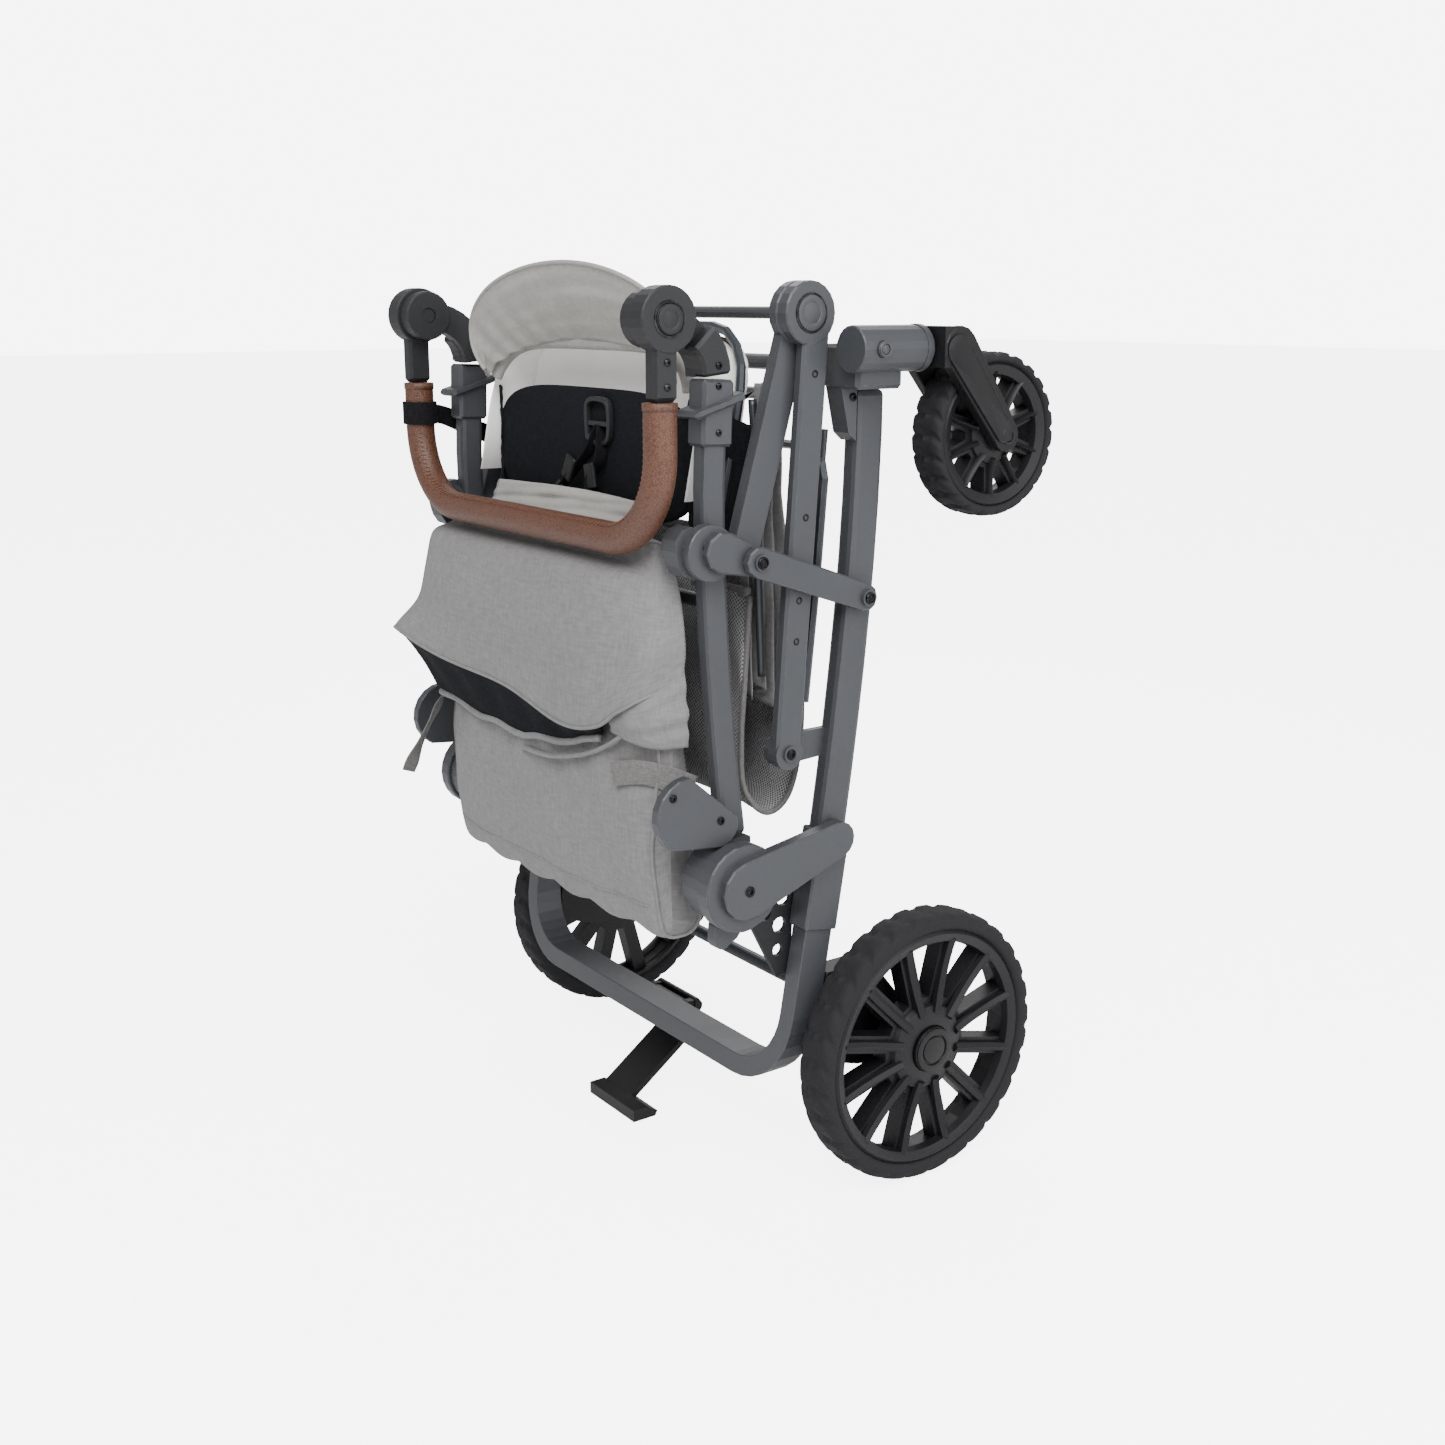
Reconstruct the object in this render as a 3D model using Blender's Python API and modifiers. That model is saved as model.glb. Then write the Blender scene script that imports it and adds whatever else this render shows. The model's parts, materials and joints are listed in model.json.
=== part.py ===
"""Folding pet stroller, standing folded on its two rear wheels and its brake pedal.

Frame: +Z up, +X to the right of a person who pushes it, -Y the side of the handlebar and the bag.
Unfolded, the chassis would lie level with +Z forward and -Y up. Shapes are written from the middle
of the rear axle, on the floor; the empty axle_frame carries everything to the middle of the base.
"""
import math

import bmesh
import bpy
import numpy as np
from mathutils import Matrix, Vector

# ---- driving dimensions, metres -------------------------------------------------------------
AXLE_Y = 0.0969          # from the middle of the base to the rear axle
GAP = 0.0004             # between touching pieces

REAR_R, REAR_WIDTH, REAR_X = 0.150, 0.046, 0.302
REAR_RIM_R = 0.127
FRONT_R, FRONT_WIDTH, FRONT_X = 0.082, 0.042, 0.298
FRONT_RIM_R = 0.069
FRONT_Y, FRONT_Z = 0.068, 0.792
CASTER_Z = 0.878         # height of the caster's swivel axis
SOCKET_R = 0.022

RAIL_X, RAIL_WIDTH, RAIL_DEPTH = 0.262, 0.022, 0.035     # chassis tubes
JOINT_Z = 0.345          # where the side rails meet the base bow, inside the collar
BOW_Z = 0.127            # middle of the bow's cross piece
RAIL_TOP = 0.8395

TUBE_X, TUBE_WIDTH, TUBE_DEPTH = 0.240, 0.020, 0.027     # handle tubes
LINK_DEPTH = 0.031
RAIL_LAYER = (0.244, 0.258)      # the top rails, between the handle tubes and the posts
POST_LAYER = (0.260, 0.274)      # the front posts
LATCH_LAYER = (0.275, 0.285)

FOLD = (-0.2175, 0.362)          # pivot of the handle frame on the chassis (Y, Z)
RAIL_PIVOT = (-0.2015, 0.683)    # top rail and latch on the handle frame
POST_PIVOT = (-0.157, 0.488)     # front post on the chassis
KNUCKLE = (-0.1365, 0.911)       # top rail meets front post: the pivot left open
HANDLE_PIVOT = (-0.286, 0.906)   # handlebar on the handle frame
LATCH_END = (-0.0695, 0.637)
CANOPY_PIVOT = (-0.205, 0.690)
PEDAL_PIVOT = (-0.102, 0.114)

HANDLE_X, GRIP_R, GRIP_BOTTOM, GRIP_CORNER = 0.245, 0.016, 0.700, 0.085
KNUCKLE_R = 0.0298
HANDLE_DISC_R = 0.030
BAG_HALF = 0.212

COLOURS = {
    "frame": ((0.155, 0.172, 0.192), 0.45, 0.3),
    "charcoal": ((0.070, 0.071, 0.078), 0.55, 0.0),
    "black": ((0.018, 0.018, 0.020), 0.6, 0.0),
    "tyre": ((0.035, 0.035, 0.038), 0.85, 0.0),
    "wheel": ((0.032, 0.032, 0.036), 0.6, 0.0),
    "steel": ((0.08, 0.08, 0.085), 0.35, 0.8),
    "leather": ((0.23, 0.095, 0.055), 0.55, 0.0),
    "heather": ((0.36, 0.35, 0.35), 0.95, 0.0),
    "lining": ((0.025, 0.026, 0.030), 0.95, 0.0),
    "canopy": ((0.52, 0.51, 0.49), 0.95, 0.0),
    "mesh": ((0.45, 0.45, 0.46), 0.9, 0.0),
}


# ---- outlines, as lists of 2-D points --------------------------------------------------------
def arc(centre, radius, start, stop, count):
    """Points on a circle from start to stop, in degrees."""
    angles = np.radians(np.linspace(start, stop, count))
    return [(centre[0] + radius * math.cos(a), centre[1] + radius * math.sin(a)) for a in angles]


def circle(centre, radius, count=16):
    """A closed circle."""
    return arc(centre, radius, 0, 360 - 360 / count, count)


def capsule(first, r_first, second, r_second, count=6):
    """The hull of two circles: a bar with round ends, which may taper."""
    first, second = Vector(first), Vector(second)
    along = math.degrees(math.atan2(second.y - first.y, second.x - first.x))
    lean = math.degrees(math.acos((r_first - r_second) / (second - first).length))
    head = arc(second, r_second, along - lean, along + lean, count)
    tail = arc(first, r_first, along + lean, along + 360 - lean, count)
    return head + tail


def rectangle(left, right, low, high):
    """A closed rectangle."""
    return [(left, low), (right, low), (right, high), (left, high)]


def smooth(points, steps=5):
    """Catmull-Rom curve through the points."""
    p = np.array(points, float)
    p = np.vstack([2 * p[0] - p[1], p, 2 * p[-1] - p[-2]])
    out = []
    for i in range(1, len(p) - 2):
        for t in np.arange(steps) / steps:
            out.append(0.5 * (2 * p[i] + (p[i + 1] - p[i - 1]) * t
                              + (2 * p[i - 1] - 5 * p[i] + 4 * p[i + 1] - p[i + 2]) * t ** 2
                              + (3 * p[i] - p[i - 1] - 3 * p[i + 1] + p[i + 2]) * t ** 3))
    out.append(p[-2])
    return [tuple(q) for q in out]


def band(path, half):
    """A strip of the given half width along a path, with square ends."""
    p = np.array(path, float)
    along = np.gradient(p, axis=0)
    along /= np.linalg.norm(along, axis=1)[:, None]
    side = np.stack([-along[:, 1], along[:, 0]], 1) * half
    return [tuple(q) for q in np.vstack([p + side, (p - side)[::-1]])]


def rail_y(z):
    """Middle of the chassis tubes at a height: straight below the joint, gently bent above it."""
    if z < JOINT_Z:
        return -0.107 + 0.17 * (z - JOINT_Z)
    return -0.0595 - 0.0475 * ((0.80 - min(z, 0.80)) / 0.455) ** 1.6


def handle_y(z):
    """Middle of the handle tubes at a height: a long shallow bend."""
    return -0.2302 + 0.168 * max(0.752 - z, 0) ** 1.8 + 0.035 * max(z - 0.752, 0)


def rail_path(low, high, count):
    """The side rail's middle line, from one height to another."""
    return [(rail_y(z), z) for z in np.linspace(low, high, count)]


# ---- solids ----------------------------------------------------------------------------------
def collection(name):
    """A new collection in the scene."""
    made = bpy.data.collections.new(name)
    bpy.context.scene.collection.children.link(made)
    return made


def settle(obj):
    """Replace an object by a welded mesh of what its modifiers and transform show."""
    bpy.context.view_layer.update()
    evaluated = obj.evaluated_get(bpy.context.evaluated_depsgraph_get())
    mesh = bpy.data.meshes.new_from_object(evaluated)
    mesh.transform(obj.matrix_world)
    bm = bmesh.new()
    bm.from_mesh(mesh)
    bmesh.ops.remove_doubles(bm, verts=bm.verts, dist=0.00002)
    bmesh.ops.dissolve_degenerate(bm, edges=bm.edges, dist=0.00002)
    bmesh.ops.holes_fill(bm, edges=bm.edges, sides=8)
    bmesh.ops.recalc_face_normals(bm, faces=bm.faces)
    bm.to_mesh(mesh)
    bm.free()
    name = obj.name
    bpy.data.objects.remove(obj)
    solid = bpy.data.objects.new(name, mesh)
    PARTS.objects.link(solid)
    mesh.name = name
    return solid


def bevelled(obj, width, segments=1):
    """Round the sharp edges of a settled solid."""
    bevel = obj.modifiers.new("edges", "BEVEL")
    bevel.width = width
    bevel.segments = segments
    bevel.limit_method = "ANGLE"
    bevel.angle_limit = math.radians(40)
    return settle(obj)


def plate(name, outlines, low, high, axis="X", edge=0.0, segments=1):
    """A flat outline with any holes, thickened along an axis.

    Outlines hold (Y, Z) points for axis X, (X, Z) for axis Y and (X, Y) for axis Z.
    """
    curve = bpy.data.curves.new(name, "CURVE")
    curve.dimensions = "2D"
    curve.fill_mode = "BOTH"
    curve.extrude = (high - low) / 2
    for outline in outlines:
        spline = curve.splines.new("POLY")
        spline.points.add(len(outline) - 1)
        for point, (u, v) in zip(spline.points, outline):
            point.co = (v, u, 0, 1) if axis == "Y" else (u, v, 0, 1)
        spline.use_cyclic_u = True
    obj = bpy.data.objects.new(name, curve)
    PARTS.objects.link(obj)
    middle = (low + high) / 2
    turned = {
        "X": Matrix(((0, 0, 1, middle), (1, 0, 0, 0), (0, 1, 0, 0), (0, 0, 0, 1))),
        "Y": Matrix(((0, 1, 0, 0), (0, 0, 1, middle), (1, 0, 0, 0), (0, 0, 0, 1))),
        "Z": Matrix.Translation((0, 0, middle)),
    }
    obj.matrix_world = turned[axis]
    solid = settle(obj)
    return bevelled(solid, edge, segments) if edge else solid


def rod(name, points, radius, resolution=2):
    """A round rod or tube along 3-D points."""
    curve = bpy.data.curves.new(name, "CURVE")
    curve.dimensions = "3D"
    curve.bevel_depth = radius
    curve.bevel_resolution = resolution
    curve.use_fill_caps = True
    spline = curve.splines.new("POLY")
    spline.points.add(len(points) - 1)
    for point, co in zip(spline.points, points):
        point.co = (*co, 1)
    obj = bpy.data.objects.new(name, curve)
    PARTS.objects.link(obj)
    return settle(obj)


def turned(name, profile, centre, steps):
    """A closed (offset along X, radius) profile turned round the X direction through centre."""
    mesh = bpy.data.meshes.new(name)
    count = len(profile)
    points = [(x, 0, r) for x, r in profile]
    mesh.from_pydata(points, [(i, (i + 1) % count) for i in range(count)], [])
    obj = bpy.data.objects.new(name, mesh)
    PARTS.objects.link(obj)
    obj.location = centre
    screw = obj.modifiers.new("turn", "SCREW")
    screw.axis = "X"
    screw.steps = steps
    screw.render_steps = steps
    screw.use_merge_vertices = True
    screw.merge_threshold = 0.00005
    return settle(obj)


def sheet(name, place, across, along, thickness):
    """A grid moved by place(u, v) to an open surface, then thickened."""
    bm = bmesh.new()
    bmesh.ops.create_grid(bm, x_segments=across, y_segments=along, size=0.5)
    for vertex in bm.verts:
        vertex.co = place(vertex.co.x + 0.5, vertex.co.y + 0.5)
    mesh = bpy.data.meshes.new(name)
    bm.to_mesh(mesh)
    bm.free()
    obj = bpy.data.objects.new(name, mesh)
    PARTS.objects.link(obj)
    wall = obj.modifiers.new("wall", "SOLIDIFY")
    wall.thickness = thickness
    wall.offset = 0
    return settle(obj)


def joined(obj, *others, operation="UNION"):
    """Join or cut a solid with others, which are used up."""
    for other in others:
        other.hide_render = True
        other.display_type = "WIRE"
        CUTTERS.objects.link(other)
        PARTS.objects.unlink(other)
        change = obj.modifiers.new("join", "BOOLEAN")
        change.operation = operation
        change.solver = "EXACT"
        change.object = other
        obj = settle(obj)
        bpy.data.objects.remove(other)
    return obj


def cut(obj, *cutters):
    """Take cutters away from a solid."""
    return joined(obj, *cutters, operation="DIFFERENCE")


def mirrored(obj):
    """The left-hand copy of a right-hand solid."""
    mesh = obj.data.copy()
    mesh.transform(Matrix.Scale(-1, 4, (1, 0, 0)))
    mesh.flip_normals()
    name = obj.name.replace("_right", "_left")
    copy = bpy.data.objects.new(name, mesh)
    mesh.name = name
    PARTS.objects.link(copy)
    return copy


# ---- chassis ---------------------------------------------------------------------------------
def make_side_rail():
    """Side rail with its post bracket and the pin that the front post turns on."""
    half = RAIL_WIDTH / 2
    rail = plate("side_rail_right", [band(rail_path(JOINT_Z + 0.003, RAIL_TOP, 10), RAIL_DEPTH / 2)],
                 RAIL_X - half, RAIL_X + half, edge=0.006, segments=2)
    ear = plate("ear", [capsule(POST_PIVOT, 0.0155, (-0.095, 0.490), 0.014)], 0.2512, 0.2592)
    pin = plate("pin", [circle(POST_PIVOT, 0.005, 12)], 0.2585, 0.2755)
    head = plate("head", [circle(POST_PIVOT, 0.008, 14)], 0.2746, 0.2768)
    stud = plate("stud", [circle(LATCH_END, 0.007, 12)], 0.2700, 0.2744)
    return joined(rail, ear, pin, head, stud)


def make_base_bow():
    """U-shaped bow at the foot of the chassis, with the block that holds the brake pedal."""
    half, corner = RAIL_WIDTH / 2, 0.075
    edge = RAIL_X - corner
    low = BOW_Z + corner
    path = [(-RAIL_X, JOINT_Z - GAP), (-RAIL_X, 0.27)]
    path += arc((-edge, low), corner, 180, 270, 9)
    path += arc((edge, low), corner, 270, 360, 9)
    path += [(RAIL_X, 0.27), (RAIL_X, JOINT_Z - GAP)]
    bow = plate("base_bow", [band(path, half)], -RAIL_DEPTH / 2, RAIL_DEPTH / 2, axis="Y",
                edge=0.006, segments=2)
    for vertex in bow.data.vertices:
        vertex.co.y += rail_y(vertex.co.z)
    reach = (rail_y(BOW_Z) + 0.010, PEDAL_PIVOT[1])
    block = plate("block", [capsule(PEDAL_PIVOT, 0.0078, reach, 0.0078)], -0.050, 0.006)
    hole = plate("hole", [circle(PEDAL_PIVOT, 0.0046, 12)], -0.060, 0.016)
    return joined(bow, cut(block, hole))


def make_hinge_arm():
    """Collar round the tube joint, arm and disc that carry the fold pivot."""
    half = RAIL_WIDTH / 2
    collar_path = rail_path(0.295, 0.399, 6)
    collar = plate("hinge_arm_right", [band(collar_path, RAIL_DEPTH / 2 + 0.0035)],
                   RAIL_X - half - 0.0035, RAIL_X + half + 0.0035, edge=0.002)
    inner = plate("inner", [band(rail_path(0.285, 0.409, 8), RAIL_DEPTH / 2 + GAP)],
                  RAIL_X - half - GAP, RAIL_X + half + GAP)
    collar = cut(collar, inner)
    arm_end = (rail_y(0.395) - 0.004, 0.393)
    arm = plate("arm", [capsule(FOLD, 0.030, arm_end, 0.019, 8)], 0.2755, 0.2905, edge=0.002)
    disc = plate("disc", [circle(FOLD, 0.045, 24)], 0.2637, 0.2820, edge=0.002)
    pin = plate("pin", [circle(FOLD, 0.007, 14)], 0.2300, 0.2650)
    return joined(collar, arm, disc, pin)


def make_brace_plate():
    """Perforated web between the fold hinge and the bow's leg."""
    outline = [(-0.190, 0.318), (-0.168, 0.352), (-0.126, 0.352), (-0.134, 0.246), (-0.150, 0.242)]
    holes = [circle((-0.166, 0.316), 0.0090, 10), circle((-0.142, 0.328), 0.0090, 10),
             circle((-0.147, 0.299), 0.0085, 10), circle((-0.149, 0.272), 0.0065, 10)]
    return plate("brace_plate_right", [outline] + holes, 0.2420, 0.2470)


def make_rear_axle():
    """Cross tube that both rear wheels turn on."""
    return plate("rear_axle", [circle((0, REAR_R), 0.008, 20)], -0.318, 0.318)


def make_axle_housing():
    """Casting that carries the rear axle on the bow's leg."""
    front = RAIL_DEPTH / 2 + 0.0012
    outline = [(rail_y(z) + front, z) for z in (0.150, 0.245)]
    outline += arc((-0.060, 0.205), 0.040, 90, 60, 3)
    outline += arc((0, REAR_R), 0.026, 50, -90, 9)
    outline += [(-0.060, 0.130)]
    bore = circle((0, REAR_R), 0.0086, 16)
    return plate("axle_housing_right", [outline, bore], 0.2460, 0.2748, edge=0.0015)


def make_caster_socket():
    """Horizontal barrel for the caster's stem, on a saddle over the rail's top."""
    barrel = plate("caster_socket_right", [circle((FRONT_X, CASTER_Z), SOCKET_R, 20)],
                   -0.108, -0.0205, axis="Y", edge=0.0015)
    saddle = plate("saddle", [rectangle(0.2460, 0.3000, 0.8400, 0.8820)], -0.1000, -0.0420, axis="Y",
                   edge=0.004)
    cheek = plate("cheek", [[(-0.1000, 0.8500), (-0.0785, 0.8500), (-0.0785, 0.7900), (-0.0880, 0.7980)]],
                  0.2500, 0.2735)
    bore = plate("bore", [circle((FRONT_X, CASTER_Z), 0.0096, 20)], -0.067, -0.010, axis="Y")
    pocket = plate("pocket", [circle((-0.086, CASTER_Z), 0.0082, 16)], 0.3100, 0.3300)
    return cut(joined(barrel, saddle, cheek), bore, pocket)


def make_caster_button():
    """Release button in the caster's socket."""
    return plate("caster_button_right", [circle((-0.086, CASTER_Z), 0.0076, 16)], 0.3140, 0.3225,
                 edge=0.001)


def make_floor_hoop():
    """Thin loop that holds the mesh floor, bent round at its top."""
    side, top, corner = 0.2450, 0.782, 0.030
    right = [(side, -0.1160, 0.5300), (side, -0.1030, 0.6500)]
    right += [(side - corner + corner * math.cos(a), -0.0945, top - corner + corner * math.sin(a))
              for a in np.radians((0, 30, 60, 90))]
    left = [(-x, y, z) for x, y, z in reversed(right)]
    return rod("floor_hoop", right + left, 0.0045, 1)


def make_front_cross_bar():
    """Tube between the two caster saddles."""
    return plate("front_cross_bar", [circle((-0.071, 0.861), 0.008, 16)], -0.2455, 0.2455)


def make_cabin_mesh():
    """The folded mesh cabin: a trough hanging between the handle frame and the side rails."""
    inner = [(-0.168, 0.640), (-0.168, 0.485)]
    inner += arc((-0.140, 0.475), 0.026, 190, 350, 7)
    inner += [(-0.110, 0.500), (-0.112, 0.690)]
    outer = [(-0.104, 0.690), (-0.102, 0.500)]
    outer += arc((-0.138, 0.474), 0.036, 0, -180, 9)
    outer += [(-0.176, 0.500), (-0.176, 0.640)]
    return plate("cabin_mesh", [inner + outer], -0.225, 0.225)


# ---- wheels ----------------------------------------------------------------------------------
def make_rim(name, centre, rim_r, width, hub_r, bore_r, spokes, steps):
    """Wheel with flat spokes, a flanged rim and a hub."""
    x, y, z = centre
    window_in, window_out = hub_r * 2.1, rim_r - 0.006
    windows = []
    for i in range(spokes):
        middle, spread = i * 360 / spokes, 126 / spokes
        outer = arc((y, z), window_out, middle - spread, middle + spread, 3)
        inner = arc((y, z), window_in, middle + spread * 0.5, middle - spread * 0.5, 2)
        windows.append(outer + inner)
    web = plate(name, [circle((y, z), rim_r - 0.002, steps)] + windows, x - 0.010, x + 0.010)
    half = width / 2 - 0.004
    flange = turned("flange", [(-half, rim_r - 0.005), (half, rim_r - 0.005), (half, rim_r),
                               (-half, rim_r)], centre, steps)
    hub = plate("hub", [circle((y, z), hub_r, 20)], x - 0.020, x + 0.020)
    bore = plate("bore", [circle((y, z), bore_r, 16)], x - width, x + width)
    return cut(joined(web, flange, hub), bore)


def make_tyre(name, centre, radius, rim_r, width, steps):
    """Solid tyre with a rounded crown."""
    half, inner = width / 2, rim_r + GAP
    wall = radius - inner
    profile = [(-half * 0.85, inner), (half * 0.85, inner), (half, inner + wall * 0.4),
               (half * 0.85, radius - 0.005), (half * 0.30, radius), (-half * 0.30, radius),
               (-half * 0.85, radius - 0.005), (-half, inner + wall * 0.4)]
    return turned(name, profile, centre, steps)


def make_hub_cap():
    """Plain cap over the rear hub."""
    return plate("hub_cap_right", [circle((0, REAR_R), 0.0245, 24)], 0.3225, 0.3265, edge=0.001)


def make_caster_fork():
    """Fork with its stem and the pin that the front wheel turns on."""
    inner, outer = FRONT_X - FRONT_WIDTH / 2 - 0.0015, FRONT_X + FRONT_WIDTH / 2 + 0.0015
    thick = 0.012
    leg = [capsule((0.002, CASTER_Z), 0.0210, (FRONT_Y, FRONT_Z), 0.0160, 8)]
    fork = plate("caster_fork_right", leg, outer, outer + thick, edge=0.0025)
    far_leg = plate("leg", leg, inner - thick, inner, edge=0.0025)
    crown = plate("crown", [rectangle(inner - thick + 0.001, outer + thick - 0.001, 0.8600, 0.8985)],
                  -0.0188, 0.0040, axis="Y")
    stem = plate("stem", [circle((FRONT_X, CASTER_Z), 0.0090, 20)], -0.064, -0.015, axis="Y")
    pin = plate("pin", [circle((FRONT_Y, FRONT_Z), 0.0050, 14)], inner - thick, outer + thick + 0.0015)
    return joined(fork, crown, far_leg, stem, pin)


# ---- handle frame ----------------------------------------------------------------------------
def make_handle_tube():
    """Long tube from the fold hinge to the elbow."""
    path = [(handle_y(z), z) for z in np.linspace(0.4050, 0.8515, 10)]
    half = TUBE_WIDTH / 2
    return plate("handle_tube_right", [band(path, TUBE_DEPTH / 2)], TUBE_X - half, TUBE_X + half,
                 edge=0.005, segments=2)


def make_hinge_drum():
    """Drum at the foot of the handle tube, with a toothed lock tip below it."""
    drum = plate("hinge_drum_right", [circle(FOLD, 0.041, 24)], 0.2300, 0.2628, edge=0.002)
    neck = plate("neck", [rectangle(-0.2235, -0.1865, 0.3700, 0.4028)], 0.2300, 0.2495)
    tip = plate("tip", [capsule((-0.2210, 0.3200), 0.018, (-0.2300, 0.3060), 0.010)], 0.2500, 0.2625)
    bore = plate("bore", [circle(FOLD, 0.0076, 16)], 0.2200, 0.2700)
    return cut(joined(drum, neck, tip), bore)


def make_side_cover():
    """Teardrop cover beside the hinge, with a blunt nose towards the bag."""
    outline = arc((-0.268, 0.441), 0.038, 90, 240, 9)
    outline += arc((-0.232, 0.424), 0.0215, 270, 380, 7)
    return plate("side_cover_right", [outline], 0.2504, 0.2618, edge=0.003)


def make_corner_bracket():
    """Bracket on the handle tube with an arm to the top rail's pivot, and the pivot's pin."""
    base = plate("corner_bracket_right", [circle((-0.2440, 0.6930), 0.0270, 24)], 0.2504, 0.2650,
                 edge=0.002)
    arm = plate("arm", [capsule((-0.2360, 0.6940), 0.0200, RAIL_PIVOT, 0.0145)], 0.2585, 0.2745, edge=0.002)
    inner = plate("inner", [circle(RAIL_PIVOT, 0.005, 12)], 0.2444, 0.2600)
    outer = plate("outer", [circle(RAIL_PIVOT, 0.005, 12)], 0.2735, 0.2860)
    head = plate("head", [circle(RAIL_PIVOT, 0.008, 14)], 0.2854, 0.2876)
    ear = plate("ear", [capsule((-0.2600, 0.7000), 0.018, (-0.2560, 0.6860), 0.018)], 0.2300, 0.2530)
    hollow = plate("hollow", [rectangle(-0.2446, -0.2200, 0.6500, 0.7500)], 0.2200, 0.2503)
    return joined(base, arm, inner, outer, head, cut(ear, hollow))


def make_elbow():
    """Elbow from the handle tube's top to the inner half of the handle's knuckle."""
    path = [(HANDLE_PIVOT[0], HANDLE_PIVOT[1])]
    path += [(HANDLE_PIVOT[0] + 0.0595 * math.sin(a), 0.8551 + 0.0509 * math.cos(a))
             for a in np.radians(np.linspace(15, 90, 8))]
    knuckle = plate("elbow_right", [circle(HANDLE_PIVOT, 0.0262, 24)], 0.2165, 0.2355, edge=0.002)
    sweep = plate("sweep", [band(path, 0.0150)], 0.2190, 0.2347)
    foot = plate("foot", [band(path[4:], 0.0156)], 0.2270, 0.2520, edge=0.003)
    clear = plate("clear", [circle(HANDLE_PIVOT, 0.0325, 24)], 0.2358, 0.2600)
    bore = plate("bore", [circle(HANDLE_PIVOT, 0.0086, 16)], 0.2000, 0.2600)
    return cut(joined(knuckle, sweep, foot), clear, bore)


def make_release_collar():
    """Sliding collar on the handle tube, with a slanted finger wing."""
    path = [(handle_y(z), z) for z in (0.7900, 0.8200, 0.8515)]
    sleeve = plate("release_collar_right", [band(path, 0.0175)], 0.2265, 0.2535, edge=0.003)
    wing_path = [(-0.2560, 0.8190), (-0.2280, 0.8270), (-0.1985, 0.8370)]
    wing = plate("wing", [band(wing_path, 0.0040)], 0.2215, 0.2585, edge=0.003)
    hollow_path = [(handle_y(z), z) for z in (0.7800, 0.8200, 0.8640)]
    hollow = plate("hollow", [band(hollow_path, TUBE_DEPTH / 2 + 0.0008)], 0.2295, 0.2505)
    return cut(joined(sleeve, wing), hollow)


def make_rear_cross_bar():
    """Brace between the two handle tubes, behind the bag."""
    return plate("rear_cross_bar", [circle((-0.2235, 0.6400), 0.007, 14)], -0.2296, 0.2296)


def make_storage_bag():
    """Storage bag hanging on the handle frame."""
    outline = [(-0.2350, 0.6950), (-0.2350, 0.5400), (-0.2150, 0.4300), (-0.1900, 0.3700),
               (-0.1880, 0.3000), (-0.2640, 0.2960), (-0.2960, 0.3700), (-0.3020, 0.4700),
               (-0.2980, 0.5200), (-0.2780, 0.6000), (-0.2600, 0.6400), (-0.2570, 0.6950)]
    return plate("storage_bag", [outline], -BAG_HALF, BAG_HALF, edge=0.008)


def make_bag_flap():
    """Flap that hangs forward over the bag's pocket like an awning, wrapped back at its right end."""
    across = (-0.206, -0.100, 0.000, 0.100, 0.160, 0.188, 0.208)
    rows = (
        ((-0.2625, 0.6970),) * 7,
        ((-0.2720, 0.6770),) * 6 + ((-0.2690, 0.6800),),
        ((-0.3000, 0.6620),) * 4 + ((-0.2980, 0.6610), (-0.2900, 0.6600), (-0.2730, 0.6600)),
        ((-0.3157, 0.6020), (-0.3170, 0.5980), (-0.3160, 0.5940), (-0.3130, 0.5900), (-0.3080, 0.5900),
         (-0.2980, 0.6000), (-0.2850, 0.6120)),
        ((-0.3418, 0.5647), (-0.3240, 0.5330), (-0.3140, 0.5210), (-0.3110, 0.5140), (-0.3080, 0.5170),
         (-0.3040, 0.5330), (-0.2975, 0.5560)),
    )
    count = 8

    def place(u, v):
        x = across[0] + u * (across[-1] - across[0])
        knots = [[np.interp(x, across, [point[k] for point in row]) for k in (0, 1)] for row in rows]
        y, z = smooth(knots, 2)[round(v * count)]
        return Vector((x, y, z))

    return sheet("bag_flap", place, 14, count, 0.005)


def make_back_panel():
    """Stiff dark panel between the handle tubes, with an arched top."""
    outline = [(0.196, 0.700)] + arc((0.136, 0.776), 0.060, 0, 90, 5)
    outline += arc((-0.136, 0.776), 0.060, 90, 180, 5)
    outline += [(-0.196, 0.700)]
    return plate("back_panel", [outline], -0.2140, -0.2080, axis="Y")


def make_harness_buckle():
    """Grey loop of the tether on the back panel."""
    frame = rectangle(0.012, 0.052, 0.778, 0.822)
    slot = rectangle(0.019, 0.045, 0.784, 0.806)
    return plate("harness_buckle", [frame, slot], -0.2230, -0.2146, axis="Y", edge=0.001)


# ---- handlebar -------------------------------------------------------------------------------
def make_handlebar_arm():
    """Outer half of the handle's knuckle with the short arm into the grip."""
    disc = plate("handlebar_arm_right", [circle(HANDLE_PIVOT, HANDLE_DISC_R, 24)],
                 0.2360, 0.2590, edge=0.003)
    arm = plate("arm", [rectangle(-0.3005, -0.2755, 0.8324, 0.8850)], 0.2375, 0.2575, edge=0.004)
    pin = plate("pin", [circle(HANDLE_PIVOT, 0.0080, 16)], 0.2185, 0.2370)
    pocket = plate("pocket", [circle(HANDLE_PIVOT, 0.0146, 20)], 0.2500, 0.2700)
    return cut(joined(disc, arm, pin), pocket)


def make_handle_button():
    """Round release button in the handle's knuckle."""
    return plate("handle_button_right", [circle(HANDLE_PIVOT, 0.0138, 20)], 0.2540, 0.2600,
                 edge=0.001)


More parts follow.
